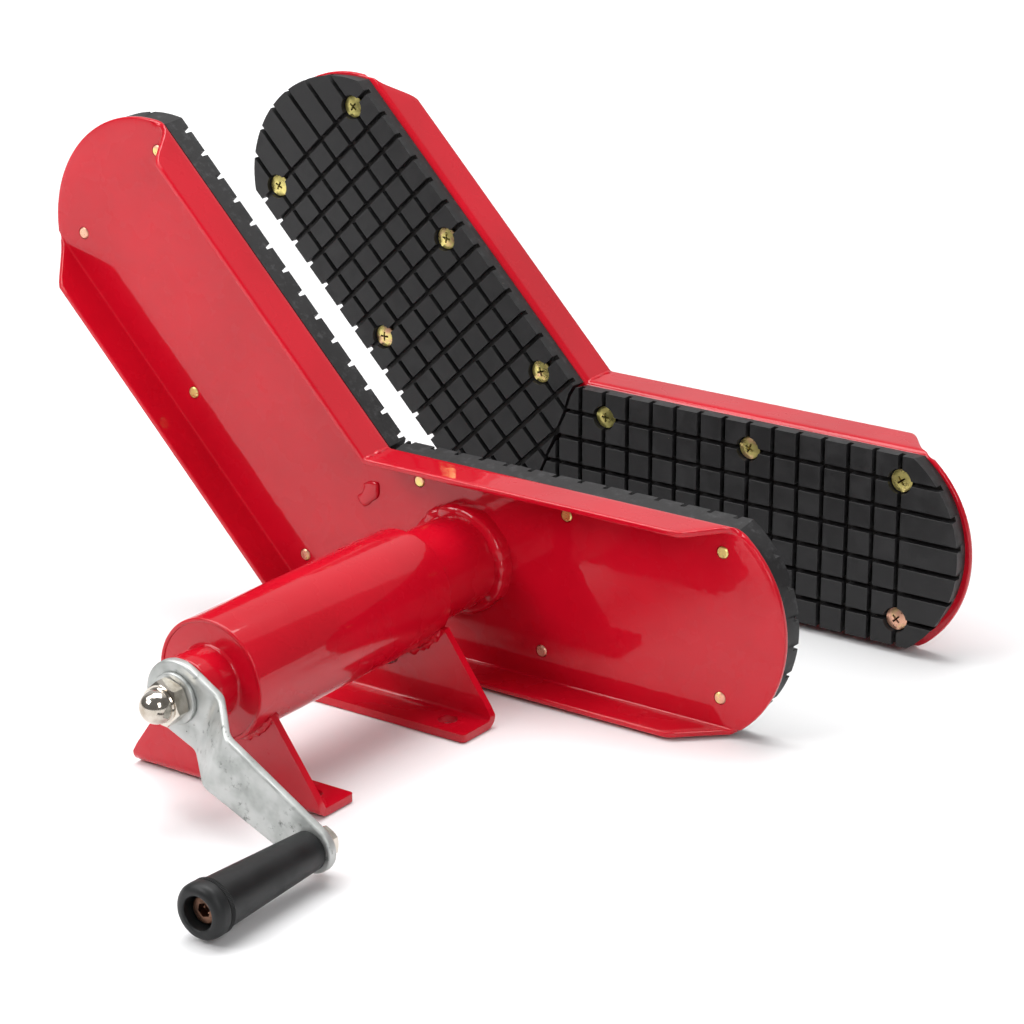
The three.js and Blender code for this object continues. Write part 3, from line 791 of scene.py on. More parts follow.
def prism(
    name: str, outline: Sequence[Point2], low: float, high: float,
    place: Callable[[float, float, float], Vector],
) -> Piece:
    """An outline pushed out into a closed solid.

    Args:
        name: The object's name.
        outline: The outline's points.
        low: Where it starts.
        high: Where it ends.
        place: Turns (a, b, depth) into a place in the frame.

    Returns:
        The object.
    """
    work = bmesh.new()
    ends = [[work.verts.new(place(a, b, level)) for a, b in outline] for level in (low, high)]
    skinned(work, ends, False)
    return from_bmesh(name, work)


def drill(x: float, z: float, radius: float, low: float, high: float, facets: int = 32) -> Piece:
    """A cutting cylinder along Y.

    Args:
        x: The hole's place along X.
        z: Its height.
        radius: Its radius.
        low: Where it starts along Y.
        high: Where it ends.
        facets: Number of facets round it.

    Returns:
        The cutter.
    """
    return lathe("cutter", [(0, low), (radius, low), (radius, high), (0, high)], x, z, facets)


def bead(
    name: str, path: Sequence[Vector], radius: float, seed: float, closed: bool = False,
    lumps: float = 0.25, ripple: float = 3.2 * MM,
) -> Piece:
    """A weld bead: an uneven rope of metal along a path, drowned in paint.

    Args:
        name: The object's name.
        path: Points along the seam.
        radius: The bead's typical radius.
        seed: Makes this bead differ from the others.
        closed: True where the seam comes back to its start.
        lumps: How uneven it is, as a share of its radius.
        ripple: Distance between two ripples along it.

    Returns:
        The object.
    """
    sides = 14
    work = bmesh.new()
    rings = []
    count = len(path)
    offset = Vector((seed, seed, seed))
    travelled = 0.0
    for i, here in enumerate(path):
        before = path[i - 1] if closed or i > 0 else here
        after = path[(i + 1) % count] if closed or i < count - 1 else here
        ahead = (after - before).normalized()
        travelled += (here - path[i - 1]).length if i else 0.0
        side = ahead.orthogonal().normalized() if i == 0 else (side - ahead * side.dot(ahead)).normalized()
        up = ahead.cross(side)
        ends = 1.0 if closed else math.sqrt(max(0.02, 1 - (2 * i / (count - 1) - 1) ** 8))
        wave = 1 + 0.08 * math.cos(2 * math.pi * travelled / ripple)
        row = []
        for k in range(sides):
            turn = 2 * math.pi * k / sides
            spoke = side * math.cos(turn) + up * math.sin(turn)
            rough = noise.noise((here + spoke * radius) / (1.5 * radius) + offset)
            size = radius * ends * wave * (1 + lumps * rough)
            row.append(work.verts.new(here + spoke * size))
        rings.append(row)
    skinned(work, rings, closed)
    return from_bmesh(name, work, WELD_SHARP)


def dress(
    made: Piece, finish: Finish, body: Body, *nodes: str, slotted: bool = True
) -> Piece:
    """Gives a piece its finish, puts it on its body and lets it stand for CAD nodes.

    Args:
        made: The piece.
        finish: Its finish.
        body: The body it rides on.
        *nodes: The CAD nodes it stands for.
        slotted: Not used; it would be False where its finish belongs to no slot of the record.

    Returns:
        The same piece.
    """
    made.data.materials.clear()
    made.data.materials.append(finish.material())
    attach(made, body.value)
    if nodes:
        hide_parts(*nodes)
    LOG.info("%s: %d faces on %s", made.name, len(made.data.polygons), body.value)
    return made


def middle(node: str) -> Vector:
    """The middle of a CAD node's box."""
    low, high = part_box(node)
    return (low + high) / 2


class Round:
    """The axis, radius and ends of a CAD node that is round about a line along Y."""

    def __init__(self, node: str) -> None:
        """Reads them from the node's box."""
        low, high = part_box(node)
        self.x, self.z = (low.x + high.x) / 2, (low.z + high.z) / 2
        self.radius = (high.x - low.x) / 2
        self.front, self.rear = low.y, high.y


# ---- Geometry Nodes ----


@dataclass
class NodeRecipe:
    """A Geometry Nodes tree with named inputs, applied once to one object."""

    title: str
    tree: Tree = field(init=False)

    def __post_init__(self) -> None:
        """Starts the tree with a geometry input and output."""
        self.tree = bpy.data.node_groups.new(self.title, "GeometryNodeTree")
        self.tree.interface.new_socket("Geometry", in_out="INPUT", socket_type="NodeSocketGeometry")
        self.tree.interface.new_socket("Geometry", in_out="OUTPUT", socket_type="NodeSocketGeometry")
        self.entry = self.tree.nodes.new("NodeGroupInput")

    def ask(self, name: str, kind: str = "NodeSocketFloat") -> Socket:
        """Adds a named input and returns its socket inside the tree.

        Args:
            name: The input's name.
            kind: Its socket type.

        Returns:
            The socket on the tree's entry.
        """
        self.tree.interface.new_socket(name, in_out="INPUT", socket_type=kind)
        return self.entry.outputs[name]

    def close(self, geometry: Socket, material: Socket) -> None:
        """Ends the tree: instances are made real and the material is set.

        Args:
            geometry: What the tree has made.
            material: The material's socket.
        """
        real = add(self.tree, "GeometryNodeRealizeInstances", {"Geometry": geometry})
        wanted = {"Geometry": real.outputs[0], "Material": material}
        dressed = add(self.tree, "GeometryNodeSetMaterial", wanted)
        add(self.tree, "NodeGroupOutput", {"Geometry": dressed.outputs[0]})

    def apply(self, made: Piece, values: dict[str, Setting], sharp: float) -> Piece:
        """Runs the tree on an object and keeps the result as plain mesh.

        Args:
            made: The object.
            values: Each named input's value.
            sharp: Edges over this many degrees stay sharp.

        Returns:
            The same object, with no modifier left.
        """
        step = made.modifiers.new(self.title, "NODES")
        step.node_group = self.tree
        for item in self.tree.interface.items_tree:
            if item.item_type == "SOCKET" and item.in_out == "INPUT" and item.name in values:
                step[item.identifier] = values[item.name]
        return settled(made, sharp)


def points_object(name: str, points: Sequence[Vector], tints: Sequence[float]) -> Piece:
    """Loose points that carry a tint each, for a tree to put instances on.

    Args:
        name: The object's name.
        points: The points.
        tints: Each point's tint.

    Returns:
        The object.
    """
    mesh = bpy.data.meshes.new(name)
    mesh.from_pydata([tuple(p) for p in points], [], [])
    tint = mesh.attributes.new("tint", "FLOAT", "POINT")
    tint.data.foreach_set("value", list(tints))
    return new_object(name, mesh)


def scatter_recipe() -> NodeRecipe:
    """A tree that puts one real copy of a part on each of an object's points.

    Returns:
        The recipe, with inputs Part, Turn, Step Turn and Material.
    """
    recipe = NodeRecipe("copies_on_points")
    part = recipe.ask("Part", "NodeSocketObject")
    turn = recipe.ask("Turn", "NodeSocketVector")
    step = recipe.ask("Step Turn", "NodeSocketVector")
    material = recipe.ask("Material", "NodeSocketMaterial")
    tree = recipe.tree
    shape = add(tree, "GeometryNodeObjectInfo", {"Object": part}).outputs["Geometry"]
    number = add(tree, "GeometryNodeInputIndex").outputs["Index"]
    turned = {0: step, "Scale": number}
    each = add(tree, "ShaderNodeVectorMath", turned, operation="SCALE").outputs["Vector"]
    both = add(tree, "ShaderNodeVectorMath", {0: turn, 1: each}, operation="ADD").outputs["Vector"]
    points = add(tree, "GeometryNodeMeshToPoints", {"Mesh": recipe.entry.outputs["Geometry"]})
    copies = {"Points": points.outputs["Points"], "Instance": shape, "Rotation": both}
    placed = add(tree, "GeometryNodeInstanceOnPoints", copies)
    recipe.close(placed.outputs["Instances"], material)
    return recipe


def tread_recipe() -> NodeRecipe:
    """A tree that moulds a tread sheet, cuts it to an outline and drills it.

    The sheet lies in X and Z with its face upwards in Y. Columns of blocks stand on a plain backing,
    the modified object is the outline's knife, and Recesses holds the drilled stretches.

    Returns:
        The recipe.
    """
    recipe = NodeRecipe("moulded_tread")
    start, pitch, backing, width = [recipe.ask(name) for name in ("Start", "Pitch", "Backing", "Width")]
    count = recipe.ask("Columns", "NodeSocketInt")
    column, end, recesses = [recipe.ask(name, "NodeSocketObject") for name in ("Column", "End", "Recesses")]
    material = recipe.ask("Material", "NodeSocketMaterial")
    tree = recipe.tree

    def vector(x: Setting, y: Setting, z: Setting) -> Socket:
        """A vector from three values."""
        return add(tree, "ShaderNodeCombineXYZ", {"X": x, "Y": y, "Z": z}).outputs["Vector"]

    def shape_of(source: Socket) -> Socket:
        """The geometry of an object input."""
        return add(tree, "GeometryNodeObjectInfo", {"Object": source}).outputs["Geometry"]

    def moved(geometry: Socket, by: Socket) -> Socket:
        """The geometry moved by a vector."""
        settings = {"Geometry": geometry, "Translation": by}
        return add(tree, "GeometryNodeTransform", settings).outputs["Geometry"]

    row = {"Count": count, "Start Location": vector(start, backing, 0.0), "Offset": vector(pitch, 0.0, 0.0)}
    line = add(tree, "GeometryNodeMeshLine", row).outputs["Mesh"]
    blocks = {"Points": line, "Instance": shape_of(column)}
    blocks = add(tree, "GeometryNodeInstanceOnPoints", blocks).outputs["Instances"]
    blocks = add(tree, "GeometryNodeRealizeInstances", {"Geometry": blocks}).outputs["Geometry"]
    reach = reckon(tree, "MULTIPLY", pitch, count)
    last = moved(shape_of(end), vector(reckon(tree, "ADD", start, reach), backing, 0.0))
    long = reckon(tree, "MULTIPLY", reach, 1.4)
    size = vector(long, backing, reckon(tree, "MULTIPLY", width, 1.3))
    sheet = add(tree, "GeometryNodeMeshCube", {"Size": size})
    centre = vector(reckon(tree, "ADD", start, reckon(tree, "MULTIPLY", long, 0.48)),
                    reckon(tree, "MULTIPLY", backing, 0.5), reckon(tree, "MULTIPLY", width, 0.5))
    moulded = add(tree, "GeometryNodeMeshBoolean", {1: moved(sheet.outputs["Mesh"], centre)},
                  operation="UNION", solver="EXACT")
    tree.links.new(blocks, moulded.inputs[1])
    tree.links.new(last, moulded.inputs[1])
    trimmed = add(tree, "GeometryNodeMeshBoolean", {1: moulded.outputs["Mesh"]},
                  operation="INTERSECT", solver="EXACT")
    tree.links.new(recipe.entry.outputs["Geometry"], trimmed.inputs[1])
    drilled = {0: trimmed.outputs["Mesh"], 1: shape_of(recesses)}
    drilled = add(tree, "GeometryNodeMeshBoolean", drilled, operation="DIFFERENCE", solver="EXACT")
    recipe.close(drilled.outputs["Mesh"], material)
    return recipe


# ---- Jaw ----


@dataclass
class Jaw:
    """One half of the clamp: a folded V of sheet steel with two tread pads screwed to it."""

    prefix: str
    body: Body
    towards: int
    seed: float
    warmth: float
    lump_height: float = 0.32
    sheet: float = 3 * MM
    width: float = 107 * MM
    arm_angle: float = math.radians(134)
    end_radius: float = 64 * MM
    end_centre: float = 170.7 * MM
    bend: float = 4 * MM
    inner_setback: float = 20 * MM
    outer_setback: float = 25 * MM
    pad_width: float = 103 * MM
    pad_inset: float = 1.2 * MM
    pad_split: float = 0.95 * MM
    columns: int = 18
    pitch: float = 15 * MM
    groove: float = 2.6 * MM
    end_stretch: float = 44 * MM
    groove_depth: float = 4.3 * MM
    chamfer_depth: float = 5 * MM
    chamfer: float = 1.8 * MM
    first_screw: float = 19 * MM
    recess_radius: float = 6.8 * MM
    recess_depth: float = 5.5 * MM
    shank_radius: float = 3.35 * MM
    tip_radius: float = 3.0 * MM

    def __post_init__(self) -> None:
        """Reads the jaw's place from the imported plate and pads."""
        low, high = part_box(f"{self.prefix}_jaw_plate")
        self.face = high.y if self.towards > 0 else low.y
        self.depth = high.y - low.y
        self.kink = Vector((high.x - self.end_centre - self.end_radius, self.face, low.z + self.width))
        pad_low, pad_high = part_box(f"{self.prefix}_lower_pad")
        self.pad_face = pad_high.y if self.towards > 0 else pad_low.y
        self.thickness = abs(self.pad_face - self.face)

    def at(self, upper: bool, s: float, r: float, depth: float) -> Vector:
        """A place on an arm.

        Args:
            upper: True for the upper arm.
            s: Distance along the arm from the kink.
            r: Distance in from the arm's inner edge.
            depth: Distance behind the steel's pad side; a pad is at negative depths.

        Returns:
            The place in the frame.
        """
        if upper:
            x = s * math.cos(self.arm_angle) - r * math.sin(self.arm_angle)
            z = s * math.sin(self.arm_angle) + r * math.cos(self.arm_angle)
        else:
            x, z = s, -r
        return self.kink + Vector((x, -self.towards * depth, z))

    def arm_name(self, upper: bool) -> str:
        """The arm's name in the CAD model."""
        return "upper" if upper else "lower"

    def mitre(self, r: float) -> float:
        """Where the arms meet, as a distance along them, at r in from the inner edge."""
        return -r / math.tan(self.arm_angle / 2)

    def section(self) -> list[tuple[Point2, Point2]]:
        """The folded section, as matched (r, depth) points on its outside and its inside."""
        inside = self.bend - self.sheet
        flange = [self.bend + (self.depth - self.bend) * k / 10 for k in range(10, 0, -1)]
        half = [((0.0, d), (self.sheet, d)) for d in flange]
        for k in range(9):
            turn = math.pi / 2 * k / 8
            c, s = math.cos(turn), math.sin(turn)
            half.append(((self.bend - self.bend * c, self.bend - self.bend * s),
                         (self.bend - inside * c, self.bend - inside * s)))
        web = 30
        span = self.width - 2 * self.bend
        flat = [self.bend + span * k / web for k in range(1, web)]
        rest = [((r, 0.0), (r, self.sheet)) for r in flat]
        mirrored = [((self.width - a[0], a[1]), (self.width - b[0], b[1])) for a, b in reversed(half)]
        return half + rest + mirrored

    def end_of(self, r: float, depth: float) -> float:
        """How far along the arm the steel reaches.

        The flat side ends in an arc. Each fold's end runs back from the arc's corner to its free
        edge in an S, hollow at the plate and rounded at the free edge.

        Args:
            r: Distance in from the inner edge.
            depth: Distance behind the pad side.

        Returns:
            The distance along the arm.
        """
        half = self.width / 2
        reach = self.end_centre + math.sqrt(self.end_radius ** 2 - (r - half) ** 2)
        setback = self.inner_setback if r < half else self.outer_setback
        share = min(1.0, max(0.0, (depth - self.sheet) / (self.depth - self.sheet)))
        eased = 0.5 - math.sin(math.asin(1 - 2 * share) / 3)
        curl = 0.72 if r < half else 0.3
        return reach - setback * (curl * eased + (1 - curl) * share)

    def plate(self) -> Piece:
        """The folded steel, both arms in one, with its screw holes."""
        shares = [1.0, 0.97, 0.9, 0.75, 0.5, 0.25, 0.0]
        stations = [(True, t) for t in shares] + [(False, t) for t in reversed(shares[:-1])]
        rows = []
        for upper, share in stations:
            row = []
            for pair in self.section():
                reach = self.end_of(*pair[0])
                starts = [self.mitre(r) for r, _ in pair]
                row.append(tuple(
                    self.at(upper, start + share * (reach - start), r, depth)
                    for start, (r, depth) in zip(starts, pair)
                ))
            rows.append(row)
        steel = folded(f"{self.prefix}_jaw_steel", rows)
        rounded_edges(steel, 1.0 * MM, 4, 40.0)
        low, high = self.face - 2 * self.sheet, self.face + 2 * self.sheet
        cut_by(steel, *[drill(p.x, p.z, self.shank_radius, low, high, 24) for p in self.screw_places()])
        return dress(steel, PAINT, self.body, f"{self.prefix}_jaw_plate")

    def welds(self) -> None:
        """Beads in the mitred corners of the folds, and a lump on the plate's back."""
        corners = (("inner", 0.0, 2.3 * MM, 1.5 * MM), ("outer", self.width, 1.7 * MM, -2.2 * MM))
        for name, r, size, sink in corners:
            depths = [1.6 * MM + (self.depth - 2.4 * MM) * k / 30 for k in range(31)]
            line = [self.at(False, self.mitre(r + sink), r + sink, depth) for depth in depths]
            title = f"{self.prefix}_{name}_fold_weld"
            dress(bead(title, line, size, self.seed + r, False, 0.35, 9 * MM), PAINT, self.body)
        line = []
        for k in range(15):
            r = 20 * MM + 13 * MM * k / 14
            sway = 2.2 * MM * math.sin(0.3 * k)
            line.append(self.at(False, self.mitre(r) + sway - 3.6 * MM, r, self.sheet))
        title = f"{self.prefix}_back_weld_lump"
        made = bead(title, line, 4.4 * MM, self.seed + 8.0, False, 0.5, 30 * MM)
        plane = line[0].y
        for vertex in made.data.vertices:
            vertex.co.y = plane + self.lump_height * (vertex.co.y - plane)
        dress(made, PAINT, self.body)

    def screw_nodes(self) -> list[str]:
        """Names of the jaw's pad screws in the CAD model."""
        return [f"{self.prefix}_{arm}_screw_{i}" for arm in ("lower", "upper") for i in range(1, 7)]

    def screw_places(self) -> list[Vector]:
        """Where the pad screws are, on their axes."""
        return [middle(name) for name in self.screw_nodes()]

    def pad_outline(self, upper: bool) -> list[Point2]:
        """A pad's knife line as (s, r), straight-sided, round-ended and hand-cut at the joint.

        Args:
            upper: True for the upper arm's pad.

        Returns:
            The closed outline.
        """
        radius = self.end_radius - self.pad_inset
        half = self.pad_width / 2
        sweep = math.asin(half / radius)
        end = arc((self.end_centre, half), radius, -sweep, sweep, 40)
        steps = 18
        joint = []
        for k in range(steps + 1):
            r = self.pad_width * k / steps
            wander = noise.noise(Vector((r / (13 * MM), self.seed, 0.0))) * 2.0 * MM
            lean = wander if upper else -wander
            nick = 0.25 * MM * noise.noise(Vector((r / (4 * MM), 7.0, lean)))
            joint.append((self.mitre(r) + self.pad_split + lean + nick, r))
        return list(reversed(joint)) + end

    def pads(self, recipe: NodeRecipe) -> None:
        """Both tread pads.

        Args:
            recipe: The tree that moulds, cuts and drills a pad.
        """
        rubber = TreadRubber(self.pad_face, self.towards, f"{self.prefix}_pad_rubber")
        backing = self.thickness - self.groove_depth
        start = self.first_screw - 5.5 * self.pitch
        column = self.blocks(0.0, self.pitch - self.groove)
        end = self.blocks(self.end_stretch / 2 - self.pitch / 2 + self.groove / 2, self.end_stretch)
        for upper in (False, True):
            arm = self.arm_name(upper)
            outline = self.pad_outline(upper)
            knife = prism(f"{self.prefix}_{arm}_tread_pad", outline, -1 * MM, self.thickness + 1 * MM,
                          lambda s, r, y: Vector((s, y, r)))
            drills = self.recess_drills(upper)
            recipe.apply(knife, {
                "Start": start, "Pitch": self.pitch, "Backing": backing, "Width": self.pad_width,
                "Columns": self.columns, "Column": column, "End": end, "Recesses": drills,
                "Material": rubber.material(),
            }, 30.0)
            self.chamfered(knife, outline)
            places = [self.at(upper, v.co.x, v.co.z, -v.co.y) for v in knife.data.vertices]
            for vertex, place in zip(knife.data.vertices, places):
                vertex.co = place
            if upper == (self.towards < 0):
                knife.data.flip_normals()
            smooth(knife.data, 30.0)
            dress(knife, rubber, self.body, f"{self.prefix}_{arm}_pad")
            thrown_away(drills)
        thrown_away(column, end)

    def chamfered(self, pad: Piece, outline: Sequence[Point2]) -> None:
        """Draws the wall in towards the steel, as the slanted knife cut leaves it.

        Args:
            pad: The pad, lying in X and Z.
            outline: The pad's outline.
        """
        centre = Vector((sum(s for s, _ in outline), sum(r for _, r in outline))) / len(outline)
        for vertex in pad.data.vertices:
            if vertex.co.y > self.chamfer_depth or not self.on_wall(vertex.co, outline):
                continue
            share = 1 - vertex.co.y / self.chamfer_depth
            inward = (centre - Vector((vertex.co.x, vertex.co.z))).normalized()
            if abs(vertex.co.z) < 0.1 * MM or abs(vertex.co.z - self.pad_width) < 0.1 * MM:
                inward = Vector((0, 1 if vertex.co.z < centre.y else -1))
            vertex.co.x += inward.x * share * self.chamfer
            vertex.co.z += inward.y * share * self.chamfer

    def on_wall(self, point: Vector, outline: Sequence[Point2]) -> bool:
        """True where a point lies on the pad's outline."""
        for i, (s, r) in enumerate(outline):
            first = Vector(outline[i - 1])
            last = Vector((s, r))
            edge = last - first
            here = Vector((point.x, point.z)) - first
            share = min(1.0, max(0.0, here.dot(edge) / max(edge.length_squared, 1e-12)))
            if (here - edge * share).length < 0.02 * MM:
                return True
        return False

    def blocks(self, middle_s: float, length: float) -> Piece:
        """A row of tread blocks across the pad, the outer two running past its edges.

        Args:
            middle_s: Where the blocks' middles are along the arm.
            length: How long each block is along the arm.

        Returns:
            The blocks, standing in the backing.
        """
        first = (self.pad_width - 5 * self.pitch) / 2
        past = 8 * MM
        ends = [first + k * self.pitch for k in range(6)]
        spans = [(-past, ends[0]), *zip(ends, ends[1:]), (ends[-1], self.pad_width + past)]
        work = bmesh.new()
        for low, high in spans:
            cube = bmesh.ops.create_cube(work, size=1.0)["verts"]
            for vertex in cube:
                vertex.co.x = middle_s + math.copysign(length / 2, vertex.co.x)
                vertex.co.z = high - self.groove / 2 if vertex.co.z > 0 else low + self.groove / 2
                vertex.co.y = self.groove_depth if vertex.co.y > 0 else -1 * MM
        top = [e for e in work.edges if any(v.co.y > 0 for v in e.verts)]
        bmesh.ops.bevel(work, geom=top, offset=0.16 * MM, segments=1, profile=0.5, affect="EDGES")
        return from_bmesh("tread_blocks", work)

    def recess_drills(self, upper: bool) -> Piece:
        """All the drilled recesses and shank holes of one pad, lying as the pad is moulded."""
        work = bmesh.new()
        floor = self.thickness - self.recess_depth
        steps = [(self.shank_radius, -2 * MM), (self.shank_radius, floor - 2.6 * MM),
                 (self.recess_radius - 0.5 * MM, floor), (self.recess_radius, floor + 0.5 * MM),
                 (self.recess_radius, self.thickness + 2 * MM)]
        for i in range(1, 7):
            place = middle(f"{self.prefix}_{self.arm_name(upper)}_screw_{i}") - self.kink
            if upper:
                s = place.x * math.cos(self.arm_angle) + place.z * math.sin(self.arm_angle)
                r = -place.x * math.sin(self.arm_angle) + place.z * math.cos(self.arm_angle)
            else:
                s, r = place.x, -place.z
            skinned(work, [ring(work, s, r, radius, y, 28) for radius, y in steps], False)
        return from_bmesh("recess_drills", work)

    def screws(self, recipe: NodeRecipe, screw: Piece) -> None:
        """All the jaw's pad screws.

        Args:
            recipe: The tree that puts copies on points.
            screw: The screw that is copied.
        """
        tops = [Vector((p.x, self.face, p.z)) for p in self.screw_places()]
        spots = [Vector((self.seed + 3.7 * i, 1.3, 0.0)) for i in range(len(tops))]
        tints = [self.warmth + 0.8 * noise.noise(spot) for spot in spots]
        made = points_object(f"{self.prefix}_pad_screws", tops, tints)
        turn = 0.0 if self.towards > 0 else math.pi
        recipe.apply(made, {
            "Part": screw, "Turn": (0.0, 0.0, turn), "Step Turn": (0.0, 1.1, 0.0),
            "Material": ZINC.material(),
        }, 30.0)
        dress(made, ZINC, self.body, *self.screw_nodes())

    def build(self, tread: NodeRecipe, copies: NodeRecipe, screw: Piece) -> None:
        """Builds and dresses the whole jaw.

        Args:
            tread: The tree that makes a pad.
            copies: The tree that puts copies on points.
            screw: The pad screw that is copied.
        """
        self.plate()
        self.welds()
        self.pads(tread)
        self.screws(copies, screw)


@dataclass
class PadScrew:
    """A countersunk cross-recess machine screw, its axis along Y and the steel's face at Y = 0."""

    head_radius: float = 6.0 * MM
    thread_radius: float = 3.0 * MM
    head_top: float = 10.2 * MM
    head_height: float = 3.3 * MM
    dome: float = 0.9 * MM
    tip: float = -3.45 * MM
    cross_length: float = 3.1 * MM
    cross_width: float = 0.62 * MM
    cross_depth: float = 2.3 * MM

    def build(self) -> Piece:
        """Makes the screw that the others are copies of."""
        edge = self.head_top - self.dome
        crown = (self.head_radius ** 2 + self.dome ** 2) / (2 * self.dome)
        sweep = math.asin(self.head_radius / crown)
        dome = arc((0.0, self.head_top - crown), crown, math.pi / 2 - sweep, math.pi / 2, 6)
        neck = edge - self.head_height
        profile = [(0.0, self.tip), (self.thread_radius - 0.5 * MM, self.tip),
                   (self.thread_radius, self.tip + 0.5 * MM), (self.thread_radius, neck),
                   (self.head_radius - 0.15 * MM, edge - 0.35 * MM), *dome]
        body = lathe("pad_screw", profile, 0.0, 0.0, 28)
        body.data.attributes.new("stain", "FLOAT", "FACE")
        cut_by(body, *[self.wing(turn) for turn in (0.0, math.pi / 2)])
        self.stained(body.data)
        return body

    def wing(self, turn: float) -> Piece:
        """One bar of the cross recess, narrowing towards its floor."""
        work = bmesh.new()
        bmesh.ops.create_cube(work, size=1.0)
        for vertex in work.verts:
            top = vertex.co.y > 0
            vertex.co.x *= 2 * self.cross_length * (1.0 if top else 0.45)
            vertex.co.z *= 2 * self.cross_width * (1.0 if top else 0.6)
            vertex.co.y = self.head_top + self.dome if top else self.head_top - self.cross_depth
        bmesh.ops.rotate(work, verts=work.verts, cent=(0, 0, 0), matrix=Matrix.Rotation(turn, 3, "Y"))
        return from_bmesh("cross_wing", work)

    def stained(self, mesh: Mesh) -> None:
        """Marks the faces inside the cross recess as worn."""
        stain = mesh.attributes.get("stain") or mesh.attributes.new("stain", "FLOAT", "FACE")
        for face, value in zip(mesh.polygons, stain.data):
            centre = face.center
            near = math.hypot(centre.x, centre.z) < self.cross_length
            sunk = centre.y < self.head_top - 0.75 * self.dome and centre.y > self.head_top - 2.4 * MM
            value.value = 1.0 if near and sunk else 0.0


# ---- Tubes and housing ----


@dataclass
class Housing:
    """The fixed tube with its end plate, screw boss, bushes and guide screw."""

    wall: float = 3.5 * MM
    rim: float = 2.05 * MM
    plate_inset: float = 0.6 * MM
    boss_bore: float = 10.3 * MM
    lip: float = 0.7 * MM

    def __post_init__(self) -> None:
        """Reads the tube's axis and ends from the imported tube."""
        self.seat = Round("outer_tube")
        self.radius, self.x, self.z = self.seat.radius, self.seat.x, self.seat.z

    def tube(self) -> None:
        """The outer tube, its edges softened by paint."""
        outside, inside = self.radius, self.radius - self.wall
        step = outside - self.rim
        front, rear, floor, lip = self.seat.front, self.seat.rear, Round("end_plate").rear, self.lip
        corners = [(inside, floor), (step, floor), (step, front),
                   (outside, front), (outside, rear), (inside, rear)]
        profile = filleted(corners, [0, 0, lip, 1.2 * lip, 1.4 * lip, lip], 5)
        made = lathe("painted_outer_tube", profile, self.x, self.z, 128)
        dress(made, PAINT, Body.HOUSING, "outer_tube")

    def end_plate(self) -> None:
        """The welded-in plate, with a hollow fillet of paint and weld where it meets the tube."""
        plate, boss = Round("end_plate"), Round("screw_boss").radius
        front, edge = plate.front, plate.radius + 0.45 * MM
        flow, fillet = 0.4 * MM, 1.7 * MM
        hollow = arc((edge - flow, front + flow), flow, -math.pi / 2, 0.0, 3)
        root = arc((boss + fillet, front - fillet), fillet, math.pi, math.pi / 2, 6)[1:]
        start = front - 1 * MM
        profile = [(self.boss_bore, plate.rear), (self.boss_bore, start), (boss - 1 * MM, start),
                   *[(r, y + 0.02 * MM) for r, y in root], *hollow, (edge, plate.rear)]
        made = lathe("welded_end_plate", profile, self.x, self.z, 96)
        dress(made, PAINT, Body.HOUSING, "end_plate")

    def boss(self) -> None:
        """The turned boss that holds the screw's bush."""
        lips = [0, 0.6 * MM, 1.5 * MM, 0]
        made = turned_ring("painted_screw_boss", "screw_boss", self.boss_bore, lips, 6, 96)
        dress(made, PAINT, Body.HOUSING, "screw_boss")

    def bushes(self) -> None:
        """The bronze bushes, with chamfered ends."""
        for name, wall in (("screw_bush", 3.75 * MM), ("guide_bush", 1.95 * MM)):
            made = turned_ring(f"turned_{name}", name, Round(name).radius - wall, [0.4 * MM] * 4, 2, 80)
            dress(made, BRONZE, Body.HOUSING, name)

    def guide_screw(self) -> None:
        """The low-headed guide screw under the tube, with its hexagon socket."""
        low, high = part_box("guide_screw")
        foot, top = low.z, high.z
        head, shank, seat = (high.x - low.x) / 2, 4 * MM, foot + 3.5 * MM
        corners = [(0.0, foot), (head, foot), (head, seat), (shank, seat), (shank, top), (0.0, top)]
        profile = filleted(corners, [0, 1.4 * MM, 0.3 * MM, 0, 0.6 * MM, 0], 4)
        made = lathe("guide_screw_body", profile, 0.0, 0.0, 40)
        key = 2.9 * MM
        hollow = [(0, foot - 1 * MM), (key, foot - 1 * MM), (key, foot + 2.2 * MM), (0, foot + 2.6 * MM)]
        cut_by(made, lathe("socket", hollow, 0.0, 0.0, 6))
        place = Matrix.Translation(((low.x + high.x) / 2, (low.y + high.y) / 2, 0))
        made.data.transform(place @ Matrix.Rotation(math.pi / 2, 4, "X"))
        dress(made, STEEL, Body.HOUSING, "guide_screw")

    def build(self) -> None:
        """Builds and dresses the tube and what is in it."""
        self.tube()
        self.end_plate()
        self.boss()
        self.bushes()
        self.guide_screw()


